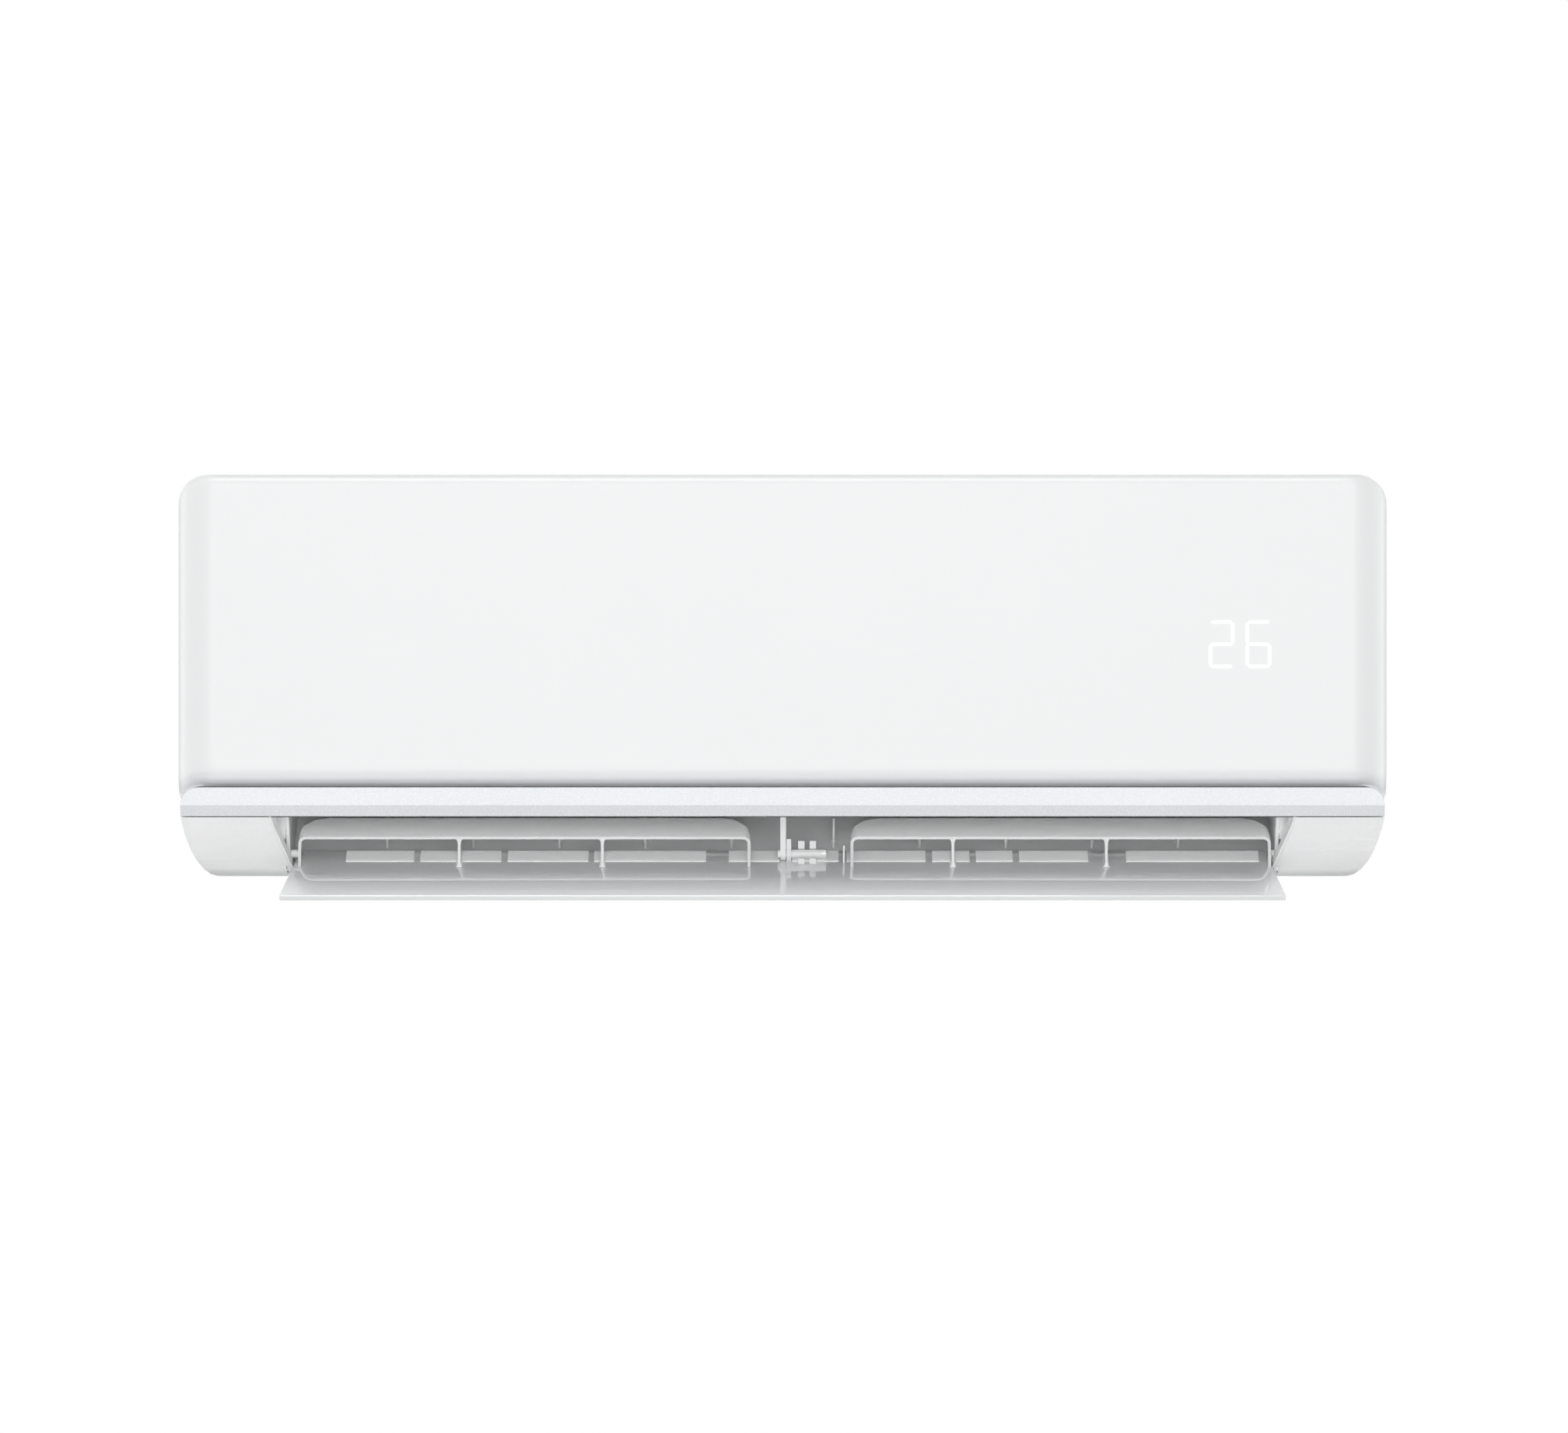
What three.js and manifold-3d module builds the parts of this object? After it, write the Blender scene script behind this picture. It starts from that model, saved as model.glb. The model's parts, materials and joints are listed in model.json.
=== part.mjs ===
// Mini split indoor unit: a wall-hung air conditioner with its louver open.
// Millimetres, +Z up, the front faces -Y. The origin is the middle of the mounting plate's wall face.
// Shapes that cut run 1 mm past the faces they open, and shapes that join sink 0.5 or 1 mm into each other.
import * as THREE from 'three';
import { mergeVertices } from 'three/addons/utils/BufferGeometryUtils.js';
import Module from 'manifold-3d';

const wasm = await Module();
wasm.setup();

// ---- overall sizes ----
const WIDTH = 885;
const HEIGHT = 295.4;
const DEPTH = 210;
const TOP = HEIGHT / 2;
const BOTTOM = -HEIGHT / 2;
const FRONT = -DEPTH;
const HALF = WIDTH / 2;

// ---- walls and clearances ----
const SHELL = 2.5;
const SEAT = 0.3;
const PIN_CLEARANCE = 0.3;

// ---- widths along X ----
const CHEEK = 68;
const CHEEK_SLANT = 14;
const DUCT_INSET = 11.5;
const FAN_INSET = 11;
const COIL_INSET = 17;
const OUTLET_TOP_HALF = HALF - CHEEK;
const OUTLET_LOW_HALF = OUTLET_TOP_HALF - CHEEK_SLANT;
const DUCT_HALF = OUTLET_TOP_HALF - DUCT_INSET;
const BULKHEAD_OUT = DUCT_HALF + SHELL;
const FAN_HALF = DUCT_HALF - FAN_INSET;
const COIL_HALF = DUCT_HALF - COIL_INSET;

// ---- depths along Y ----
const FRAME_REAR = -8;
const FRAME_SIDE_INSET = 0.8;
const FRAME_TOP_INSET = 0.5;
const FRAME_FRONT = FRONT + 27;
const PANEL_FRONT = FRONT + 3.5;
const PANEL_SIDE_REAR = FRONT + 20.5;
const PANEL_LIP_REAR = FRONT + 15.5;
const FRAME_HALF = HALF - FRAME_SIDE_INSET;

// ---- heights along Z ----
const STRIP_TOP = BOTTOM + 66.1;
const STRIP_CREASE = BOTTOM + 53.1;
const STRIP_LOW = BOTTOM + 44.9;
const PANEL_LOW = BOTTOM + 67.1;
const CHEEK_TOP = STRIP_LOW - 0.6;
const CORNER_RADIUS = 22;
const LOW_CORNER_WIDTH = 25;
const LOW_CORNER_HEIGHT = 54;
const LOW_CORNER_PULLS = [[2, 34], [9, 0]];

// ---- fan, scroll and coil ----
const FAN = { y: FRONT + 118, z: BOTTOM + 105.7 };
const FAN_RADIUS = 47;
const BLADES = 24;
const SCROLL_GAP = 5;
const COIL_THICK = 20;
const TUBE_RADIUS = 3.5;
const PAN_REST = BOTTOM + 69.7;

// ---- louver ----
const PIVOT = { y: FRONT + 61.3, z: BOTTOM + 16.7 };
const LOUVER_OPEN = THREE.MathUtils.degToRad(60);
const FLAP_RIM = 4;
const FLAP_FRONT_HALF = OUTLET_TOP_HALF - 5.6;
const FLAP_REAR_HALF = OUTLET_LOW_HALF - 3.6;
const RIB_THICK = 2.2;
const LOUVER_PIN = 3;
const LEFT_RIBS = [86.4, 204, 309.6].map((inset) => inset - HALF);
const RIGHT_RIBS = [83.3, 203.6, 316.8].map((inset) => HALF - inset);
const LEFT_MIDDLE_RIB = -24.7;
const RIGHT_MIDDLE_RIB = 51.2;

// ---- vertical vanes ----
const VANES_PER_GROUP = 5;
const VANE_PITCH = 64;
const VANE_FIRST = 38;
const VANE_PIN = 2;
const LINK_PIN = 1.2;

// ---- panel hinge ----
const HINGE = { y: FRONT + 11.5, z: TOP - 8.7 };
const HINGE_PIN = 2;
const EAR_INSET = 40;
const EAR_THICK = 5;

// ---- filters ----
const FILTER_FRONT = FRONT + 22.6;
const FILTER_THICK = 2.6;
const FILTER_LOW = BOTTOM + 87.7;
const FILTER_TOP = TOP - 3.7;
const FILTER_BORDER = 7;
const RAIL = 3;

// ---- finishes ----
function finish(color, roughness, metalness = 0) {
  return new THREE.MeshStandardMaterial({ color, roughness, metalness });
}
const WHITE = 0xf2f3f3;
const INNER_WHITE = 0xe3e5e5;
const DARK = 0x3c3f42;
const ZINC = 0xb9bdc0;
const COPPER = 0xb8693d;
const FIN = 0xc9ced1;

// ---- solids ----
function solid(geometry) {
  const bare = geometry.clone();
  bare.deleteAttribute('normal');
  bare.deleteAttribute('uv');
  const merged = mergeVertices(bare, 1e-4);
  return new wasm.Manifold(new wasm.Mesh({
    numProp: 3,
    vertProperties: new Float32Array(merged.attributes.position.array),
    triVerts: new Uint32Array(merged.index.array),
  }));
}

function geometryOf(body) {
  const mesh = body.getMesh();
  const geometry = new THREE.BufferGeometry();
  geometry.setAttribute('position', new THREE.BufferAttribute(mesh.vertProperties, 3));
  geometry.setIndex(new THREE.BufferAttribute(mesh.triVerts, 1));
  const flat = geometry.toNonIndexed();
  flat.computeVertexNormals();
  return flat;
}

function join(...bodies) {
  return bodies.reduce((whole, body) => whole.add(body));
}

function cut(body, ...tools) {
  return tools.reduce((rest, tool) => rest.subtract(tool), body);
}

function extrude(outline, length, basis) {
  const shape = new THREE.Shape(outline.map(([a, b]) => new THREE.Vector2(a, b)));
  const geometry = new THREE.ExtrudeGeometry(shape, { depth: length, bevelEnabled: false });
  geometry.applyMatrix4(basis);
  return solid(geometry);
}

// Outline in (y, z), carried from x0 to x1.
function prismX(outline, x0, x1) {
  const basis = new THREE.Matrix4().makeBasis(
    new THREE.Vector3(0, 1, 0), new THREE.Vector3(0, 0, 1), new THREE.Vector3(1, 0, 0));
  return extrude(outline, x1 - x0, basis.setPosition(x0, 0, 0));
}

// Outline in (x, z), carried from y0 to y1.
function prismY(outline, y0, y1) {
  const basis = new THREE.Matrix4().makeBasis(
    new THREE.Vector3(1, 0, 0), new THREE.Vector3(0, 0, 1), new THREE.Vector3(0, -1, 0));
  return extrude(outline, y1 - y0, basis.setPosition(0, y1, 0));
}

function box(x0, x1, y0, y1, z0, z1) {
  const geometry = new THREE.BoxGeometry(x1 - x0, y1 - y0, z1 - z0);
  geometry.translate((x0 + x1) / 2, (y0 + y1) / 2, (z0 + z1) / 2);
  return solid(geometry);
}

function rodX(radius, x0, x1, y, z, sides = 16) {
  const geometry = new THREE.CylinderGeometry(radius, radius, x1 - x0, sides);
  geometry.rotateZ(-Math.PI / 2);
  geometry.translate((x0 + x1) / 2, y, z);
  return solid(geometry);
}

function rodY(radius, y0, y1, x, z, sides = 12) {
  const geometry = new THREE.CylinderGeometry(radius, radius, y1 - y0, sides);
  geometry.translate(x, (y0 + y1) / 2, z);
  return solid(geometry);
}

function rodZ(radius, z0, z1, x, y, sides = 12) {
  const geometry = new THREE.CylinderGeometry(radius, radius, z1 - z0, sides);
  geometry.rotateX(Math.PI / 2);
  geometry.translate(x, y, (z0 + z1) / 2);
  return solid(geometry);
}

// A polyline through corners, each rounded by an arc, as a curve whose steps fall on its own points.
class PipeRoute extends THREE.Curve {
  constructor(corners, bend, arcSteps = 4) {
    super();
    this.stops = [corners[0]];
    for (let i = 1; i < corners.length - 1; i += 1) {
      this.stops.push(...this.arc(corners[i - 1], corners[i], corners[i + 1], bend, arcSteps));
    }
    this.stops.push(corners[corners.length - 1]);
  }

  arc(before, corner, after, bend, arcSteps) {
    const back = before.clone().sub(corner);
    const ahead = after.clone().sub(corner);
    const room = Math.min(bend, back.length() * 0.49, ahead.length() * 0.49);
    const start = corner.clone().addScaledVector(back.normalize(), room);
    const end = corner.clone().addScaledVector(ahead.normalize(), room);
    const bow = new THREE.QuadraticBezierCurve3(start, corner, end);
    return bow.getPoints(arcSteps);
  }

  get steps() {
    return this.stops.length - 1;
  }

  getUtoTmapping(u) {
    return u;
  }

  getPoint(t) {
    const place = THREE.MathUtils.clamp(t, 0, 1) * this.steps;
    const index = Math.min(Math.floor(place), this.steps - 1);
    return this.stops[index].clone().lerp(this.stops[index + 1], place - index);
  }
}

function tube(corners, radius, bend, sides = 8, arcSteps = 4) {
  const route = new PipeRoute(corners.map((corner) => new THREE.Vector3(...corner)), bend, arcSteps);
  const section = [];
  for (let i = 0; i < sides; i += 1) {
    const turn = (i / sides) * Math.PI * 2;
    section.push(new THREE.Vector2(Math.cos(turn) * radius, Math.sin(turn) * radius));
  }
  const geometry = new THREE.ExtrudeGeometry(new THREE.Shape(section), {
    steps: route.steps, extrudePath: route, bevelEnabled: false,
  });
  return solid(geometry);
}

// The stretch from a to b on the right side, or its mirror on the left.
function sided(sign, a, b) {
  return sign > 0 ? [a, b] : [-b, -a];
}

const unit = new THREE.Group();

function add(name, body, material, parent = unit) {
  const mesh = new THREE.Mesh(geometryOf(body), material);
  mesh.name = name;
  parent.add(mesh);
  return mesh;
}

// ---- outlines shared by the shells ----

// Front view of the casing, drawn inwards by inset.
function casingOutline(inset, low) {
  const half = FRAME_HALF - inset;
  const top = TOP - FRAME_TOP_INSET - inset;
  const radius = CORNER_RADIUS - inset;
  const shape = new THREE.Shape();
  shape.moveTo(half, 0);
  shape.lineTo(half, top - radius);
  shape.absarc(half - radius, top - radius, radius, 0, Math.PI / 2, false);
  shape.absarc(-half + radius, top - radius, radius, Math.PI / 2, Math.PI, false);
  const wide = LOW_CORNER_WIDTH - inset;
  const tall = LOW_CORNER_HEIGHT - inset;
  const [[sideIn, sideUp], [footIn, footUp]] = LOW_CORNER_PULLS;
  shape.lineTo(-half, low + tall);
  shape.bezierCurveTo(
    -half + sideIn, low + sideUp, -half + footIn, low + footUp, -half + wide, low);
  shape.lineTo(half - wide, low);
  shape.bezierCurveTo(
    half - footIn, low + footUp, half - sideIn, low + sideUp, half, low + tall);
  return shape.getPoints(8).map((point) => [point.x, point.y]);
}

// Side view of the curved face under the strip: from its top front edge back to the bottom lip.
const SWEEP_TOP = new THREE.Vector2(FRONT + 6, CHEEK_TOP);
const SWEEP_PULL = new THREE.Vector2(FRONT + 26, BOTTOM + 16.5);
const SWEEP_LOW = new THREE.Vector2(FRONT + 69, BOTTOM);

function sweepPoints(inset, from = 0, to = 1, steps = 6) {
  const curve = new THREE.QuadraticBezierCurve(SWEEP_TOP, SWEEP_PULL, SWEEP_LOW);
  const points = [];
  for (let i = 0; i <= steps; i += 1) {
    const t = from + ((to - from) * i) / steps;
    const place = curve.getPoint(t);
    const along = curve.getTangent(t);
    points.push([place.x - along.y * inset, place.y + along.x * inset]);
  }
  return points;
}

// ---- wall plate ----
const PLATE = { half: 300, thick: 1.6, low: BOTTOM + 42, high: TOP - 22 };
const HOOK = { places: [-240, 0, 240], half: 20, rise: 12, reach: 4, slotHalf: 24, slotDrop: 8 };
const PLATE_HOLES = { places: [-270, -150, 150, 270], radius: 3, aboveLow: 14, belowHigh: 30 };
const PLATE_WINDOWS = { places: [-200, 200], half: 35, aboveLow: 40, belowHigh: 50 };

function addMountingPlate() {
  const { half, thick, low, high } = PLATE;
  const hookFront = FRAME_REAR - SHELL - HOOK.reach;
  const hookTop = high + HOOK.rise - thick;
  let plate = box(-half, half, -thick, 0, low, high);
  for (const x of HOOK.places) {
    plate = join(plate,
      box(x - HOOK.half, x + HOOK.half, hookFront, -thick / 2, high - thick, high),
      box(x - HOOK.half, x + HOOK.half, hookFront, hookFront + thick, high - thick, hookTop));
  }
  for (const x of PLATE_HOLES.places) {
    for (const z of [low + PLATE_HOLES.aboveLow, high - PLATE_HOLES.belowHigh]) {
      plate = cut(plate, rodY(PLATE_HOLES.radius, -thick - 1, 1, x, z, 8));
    }
  }
  const window = PLATE_WINDOWS;
  for (const x of window.places) {
    plate = cut(plate,
      box(x - window.half, x + window.half, -thick - 1, 1, low + window.aboveLow, high - window.belowHigh));
  }
  add('mounting_plate', plate, finish(ZINC, 0.45, 0.8));
}

function fanPolar(radius, degrees) {
  const angle = THREE.MathUtils.degToRad(degrees);
  return [FAN.y + radius * Math.cos(angle), FAN.z + radius * Math.sin(angle)];
}

// ---- base chassis: back wall, fan scroll, outlet floor, bulkheads and pipe channel ----
const FLOOR_LIP = [FRONT + 74, BOTTOM + 2.9];
const FLOOR_KNEE = [FRONT + 105, BOTTOM + 17.2];
const CHANNEL_TOP = BOTTOM + 47;
const CHANNEL_FRONT = -45;
const SCROLL_MOUTH = 60;
const TROUGH_LOW = FAN.z + 52;
const TROUGH_WALL = 12;
const CHASSIS_HALF = HALF - 12;
const CHASSIS_TOP = TOP - 10;
const BULKHEAD_FRONT = FRAME_FRONT + 3.4;
const BULKHEAD_SLOPE = 24;
const CRADLE = { half: 10, front: 16, low: 58, high: 20 };
const MOTOR_HOLE = 12;
const TUBE_HOLE = TUBE_RADIUS + 0.7;

// Distance from the fan's rim to the scroll, growing by these steps from the mouth down to the outlet.
const SCROLL_STEPS = [[SCROLL_MOUTH, 0], [40, 1], [20, 2], [0, 3], [-20, 5], [-40, 8], [-62, 14], [-80, 22]];

// Air side of the fan scroll and the outlet floor, from the trough down to the lip.
function scrollLine(offset) {
  const reach = FAN_RADIUS + SCROLL_GAP + offset;
  return [
    ...SCROLL_STEPS.map(([degrees, growth]) => fanPolar(reach + growth, degrees)),
    [FLOOR_KNEE[0] + offset / 2, FLOOR_KNEE[1] - offset],
    [FLOOR_LIP[0], FLOOR_LIP[1] - Math.min(offset, 2.4)],
  ];
}

// Side view of a bulkhead.
function bulkheadOutline() {
  const rear = FRAME_REAR - SHELL + 0.5;
  return [
    [rear, CHASSIS_TOP], [BULKHEAD_FRONT, CHASSIS_TOP - BULKHEAD_SLOPE], [BULKHEAD_FRONT, CHEEK_TOP + 4],
    [PIVOT.y - 12, PIVOT.z + 8], [PIVOT.y - 6, PIVOT.z - 9], FLOOR_LIP,
    [CHANNEL_FRONT - 1, FLOOR_LIP[1]], [CHANNEL_FRONT - 1, CHANNEL_TOP - 1], [rear, CHANNEL_TOP - 1],
  ];
}

function addBaseChassis() {
  const wallFront = FRAME_REAR - SHELL;
  const edge = BULKHEAD_OUT;
  const channelRear = CHANNEL_FRONT - SHELL;
  const back = box(-CHASSIS_HALF, CHASSIS_HALF, wallFront, FRAME_REAR, CHANNEL_TOP, CHASSIS_TOP);
  const shelf = box(-CHASSIS_HALF, edge + 1, channelRear, FRAME_REAR, CHANNEL_TOP - SHELL, CHANNEL_TOP);
  const skirt = box(LOW_CORNER_WIDTH + SHELL + SEAT - HALF, edge + 1,
    channelRear, CHANNEL_FRONT, FLOOR_LIP[1], CHANNEL_TOP);
  const scroll = prismX([...scrollLine(0), ...scrollLine(SHELL).reverse()], -DUCT_HALF, DUCT_HALF);
  const [mouthY, mouthZ] = fanPolar(FAN_RADIUS + SCROLL_GAP, SCROLL_MOUTH);
  const trough = prismX([
    [wallFront + 0.5, TROUGH_LOW], [mouthY - SHELL, TROUGH_LOW], [mouthY - SHELL, TROUGH_LOW + TROUGH_WALL],
    [mouthY, TROUGH_LOW + TROUGH_WALL], [mouthY, TROUGH_LOW + SHELL], [wallFront + 0.5, TROUGH_LOW + SHELL],
  ], -DUCT_HALF, DUCT_HALF);
  const neck = prismX([
    [mouthY - 1.5, mouthZ - 1], [mouthY + SHELL, mouthZ - 1],
    [mouthY + SHELL, TROUGH_LOW + 1], [mouthY - 1.5, TROUGH_LOW + 1],
  ], -DUCT_HALF, DUCT_HALF);
  let chassis = join(back, shelf, skirt, scroll, trough, neck);
  for (const [x0, x1] of [[-edge, -DUCT_HALF], [DUCT_HALF, edge]]) {
    chassis = join(chassis, prismX(bulkheadOutline(), x0, x1));
  }
  // Motor cradle outside the right bulkhead, with a socket that the motor lies in.
  const cradleX = [MOTOR.mid - CRADLE.half, MOTOR.mid + CRADLE.half];
  const cradle = cut(
    box(...cradleX, FAN.y - CRADLE.front, wallFront + 0.5, FAN.z - CRADLE.low, FAN.z - CRADLE.high),
    rodX(MOTOR.radius + SEAT, cradleX[0] - 1, cradleX[1] + 1, FAN.y, FAN.z, 24));
  chassis = join(chassis, cradle);
  const left = [-edge - 1, -DUCT_HALF + 1];
  const right = [DUCT_HALF - 1, edge + 1];
  chassis = cut(chassis,
    rodX(BEARING.seatOut + SEAT, ...left, FAN.y, FAN.z, 16),
    rodX(MOTOR_HOLE, ...right, FAN.y, FAN.z, 16),
    rodX(LOUVER_PIN + PIN_CLEARANCE, ...left, PIVOT.y, PIVOT.z, 12),
    rodX(LOUVER_PIN + PIN_CLEARANCE, ...right, PIVOT.y, PIVOT.z, 12),
    rodX(SPIGOT.radius + SEAT, ...left, SPIGOT.y, SPIGOT.z, 12),
    rodX(TUBE_HOLE, ...right, ...COIL.inlet, 8),
    rodX(TUBE_HOLE, ...right, ...COIL.outlet, 8));
  for (const x of HOOK.places) {
    const slot = [x - HOOK.slotHalf, x + HOOK.slotHalf, wallFront - 1, FRAME_REAR + 1];
    chassis = cut(chassis, box(...slot, PLATE.high - HOOK.slotDrop, PLATE.high + SEAT));
  }
  for (const vane of vanePlaces()) {
    chassis = cut(chassis, floorHole(vane.x, VANE_PIN + PIN_CLEARANCE));
  }
  add('base_chassis', chassis, finish(INNER_WHITE, 0.6));
}

const PIPE_CLAMP = { x: DUCT_HALF - 220, half: 60, thick: 2.4, rise: 17 };

function addPipeClamp() {
  const { x, half, thick, rise } = PIPE_CLAMP;
  const low = BOTTOM + 1;
  const front = CHANNEL_FRONT + SEAT;
  const clamp = join(
    box(x - half, x + half, front, FRAME_REAR - 1, low, low + thick),
    box(x - half, x + half, front, front + thick, low, low + rise));
  add('pipe_clamp', clamp, finish(INNER_WHITE, 0.6));
}

// ---- front frame ----
const GRILLE = { rows: 5, columns: 12, pitch: 30, bar: 5, gap: 4, inset: 70, rear: 22 };

function grilleSlots() {
  const half = HALF - GRILLE.inset;
  const step = (half * 2) / GRILLE.columns;
  const deep = (GRILLE.pitch - GRILLE.gap) / 2;
  const slots = [];
  for (let row = 0; row < GRILLE.rows; row += 1) {
    const y = FRAME_REAR - GRILLE.rear - row * GRILLE.pitch;
    for (let column = 0; column < GRILLE.columns; column += 1) {
      const x = -half + column * step;
      slots.push(box(x + GRILLE.bar / 2, x + step - GRILLE.bar / 2, y - deep, y + deep, TOP - 6, TOP + 2));
    }
  }
  return slots;
}

const FRAME_WINDOW_HALF = DUCT_HALF + 8.3;
const OUTLET_STEP = BOTTOM + 6;
const SURROUND_REAR = PIVOT.y - 13;
const RAIL_FRONT = FILTER_FRONT - SEAT - 2;
const RAIL_LOW = FILTER_LOW - SEAT - RAIL;
const RAIL_TOP = FILTER_TOP - 16;
const PIPE_EXIT = { inset: 14, front: -60 };
const EAR_RADIUS = 3.6;

// Side view of the frame's outside, from the top rear edge round the front to the bottom rear edge.
function frameSide() {
  return [
    [FRAME_REAR, TOP], [FRAME_FRONT, TOP], [FRAME_FRONT, CHEEK_TOP], ...sweepPoints(0), [FRAME_REAR, BOTTOM],
  ];
}

// Walls of the outlet surround, running back from the cheek's cut edge.
function outletWall(sign) {
  const band = [
    [OUTLET_TOP_HALF, CHEEK_TOP - 0.5], [OUTLET_TOP_HALF + SHELL, CHEEK_TOP - 0.5],
    [OUTLET_LOW_HALF + SHELL, OUTLET_STEP], [OUTLET_LOW_HALF + SHELL, BOTTOM + 0.5],
    [OUTLET_LOW_HALF, BOTTOM + 0.5], [OUTLET_LOW_HALF, OUTLET_STEP],
  ];
  const wall = prismY(band.map(([x, z]) => [x * sign, z]), FRONT, SURROUND_REAR);
  return wall.intersect(prismX(frameSide(), -HALF, HALF));
}

// Rail and lip beside a filter, the ear that carries the panel, and the skirt behind the panel's side.
function frameFittings(frame, sign) {
  const railOut = FILTER_OUT + SEAT;
  const rail = sided(sign, railOut, railOut + RAIL);
  const lip = sided(sign, railOut - RAIL, railOut + RAIL);
  const ear = sided(sign, HALF - EAR_INSET, HALF - EAR_INSET + EAR_THICK);
  const skirt = sided(sign, FRAME_HALF - SHELL, FRAME_HALF);
  const arm = prismX([
    [FRAME_FRONT + 0.5, HINGE.z - 16], [HINGE.y - 2.6, HINGE.z - 2.6],
    [HINGE.y + 2.6, HINGE.z + 2.6], [FRAME_FRONT + 0.5, HINGE.z - 7],
  ], ...ear);
  const fitted = join(frame,
    box(...rail, RAIL_FRONT, FRAME_FRONT + 0.5, RAIL_LOW, RAIL_TOP),
    box(...lip, RAIL_FRONT, RAIL_FRONT + 2, RAIL_LOW, RAIL_TOP),
    box(...skirt, PANEL_SIDE_REAR + SEAT, FRAME_FRONT + 0.5, PANEL_LOW - SEAT, HINGE.z - 14),
    arm, rodX(EAR_RADIUS, ...ear, HINGE.y, HINGE.z, 16));
  return cut(fitted, rodX(HINGE_PIN + PIN_CLEARANCE, ear[0] - 1, ear[1] + 1, HINGE.y, HINGE.z, 12));
}

function addFrontFrame() {
  const innerSide = [
    [0, TOP - 1], [FRAME_FRONT + SHELL, TOP - 1], [FRAME_FRONT + SHELL, CHEEK_TOP - SHELL],
    ...sweepPoints(SHELL, 0.08), [0, BOTTOM + SHELL],
  ];
  const outer = prismX(frameSide(), -HALF, HALF).intersect(
    prismY(casingOutline(0, BOTTOM), FRONT, FRAME_REAR));
  const inner = prismX(innerSide, -HALF, HALF).intersect(
    prismY(casingOutline(SHELL, BOTTOM + SHELL), FRONT, 0));
  const window = [-FRAME_WINDOW_HALF, FRAME_WINDOW_HALF];
  const outlet = [
    [-OUTLET_TOP_HALF, CHEEK_TOP - 0.01], [-OUTLET_LOW_HALF, OUTLET_STEP], [-OUTLET_LOW_HALF, BOTTOM - 5],
    [OUTLET_LOW_HALF, BOTTOM - 5], [OUTLET_LOW_HALF, OUTLET_STEP], [OUTLET_TOP_HALF, CHEEK_TOP - 0.01],
  ];
  const exitHalf = HALF - PIPE_EXIT.inset;
  const chassisHalf = BULKHEAD_OUT + 0.5;
  let frame = cut(outer, inner,
    box(...window, FRAME_FRONT - 1, FRAME_FRONT + SHELL + 1, FILTER_LOW, TOP + 2),
    prismY(outlet, FRONT - 5, FLOOR_LIP[0]),
    box(-exitHalf, exitHalf, PIPE_EXIT.front, 1, BOTTOM - 1, BOTTOM + 4),
    box(-chassisHalf, chassisHalf, PIVOT.y - 10, 1, BOTTOM - 1, BOTTOM + 12),
    ...grilleSlots());
  frame = join(frame, outletWall(-1), outletWall(1),
    box(-FILTER_OUT - SEAT, FILTER_OUT + SEAT, RAIL_FRONT, FRAME_FRONT + 0.5, RAIL_LOW, RAIL_LOW + RAIL));
  frame = frameFittings(frameFittings(frame, -1), 1);
  // Middle rail between the filters, its lip, and the post behind it.
  const lip = RAIL / 2 + 3;
  frame = join(frame,
    box(-RAIL / 2, RAIL / 2, RAIL_FRONT, FRAME_FRONT + 0.5, RAIL_LOW, RAIL_TOP),
    box(-lip, lip, RAIL_FRONT, RAIL_FRONT + 2, RAIL_LOW, RAIL_TOP),
    box(-lip, lip, FRAME_FRONT, FRAME_FRONT + SHELL, FILTER_LOW - 1, TOP - 2));
  const buttonHole = rodY(
    BUTTON.radius + PIN_CLEARANCE, FRAME_FRONT - 1, FRAME_FRONT + SHELL + 1.5, BUTTON.x, BUTTON.z);
  add('front_frame', cut(frame, buttonHole), finish(WHITE, 0.35));
}

// ---- front panel ----
const PANEL_LOW_RADIUS = 8;
const PANEL_FLAT_TOP = 30;

function panelOutline(inset) {
  const half = HALF - inset;
  const top = TOP - inset;
  const low = PANEL_LOW + inset;
  const radius = CORNER_RADIUS - inset;
  const lowRadius = PANEL_LOW_RADIUS - inset;
  const shape = new THREE.Shape();
  shape.moveTo(half, 0);
  shape.absarc(half - radius, top - radius, radius, 0, Math.PI / 2, false);
  shape.absarc(-half + radius, top - radius, radius, Math.PI / 2, Math.PI, false);
  shape.absarc(-half + lowRadius, low + lowRadius, lowRadius, Math.PI, Math.PI * 1.5, false);
  shape.absarc(half - lowRadius, low + lowRadius, lowRadius, -Math.PI / 2, 0, false);
  return shape.getPoints(5).map((point) => [point.x, point.y]);
}

function panelSide(inset) {
  const face = PANEL_FRONT + inset;
  const rear = inset > 0 ? 0 : PANEL_SIDE_REAR;
  const low = PANEL_LOW + inset;
  const top = TOP - inset;
  const shape = new THREE.Shape();
  shape.moveTo(rear, top);
  shape.lineTo(face + 8, top);
  shape.bezierCurveTo(face + 3, top, face + 0.5, top - 3, face + 0.5, top - 8);
  shape.lineTo(face, PANEL_FLAT_TOP);
  shape.lineTo(face + 0.6, low + 14);
  shape.bezierCurveTo(face + 1, low + 4, face + 5, low + 1, face + 12, low);
  shape.lineTo(rear, low);
  return shape.getPoints(4).map((point) => [point.x, point.y]);
}

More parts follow.
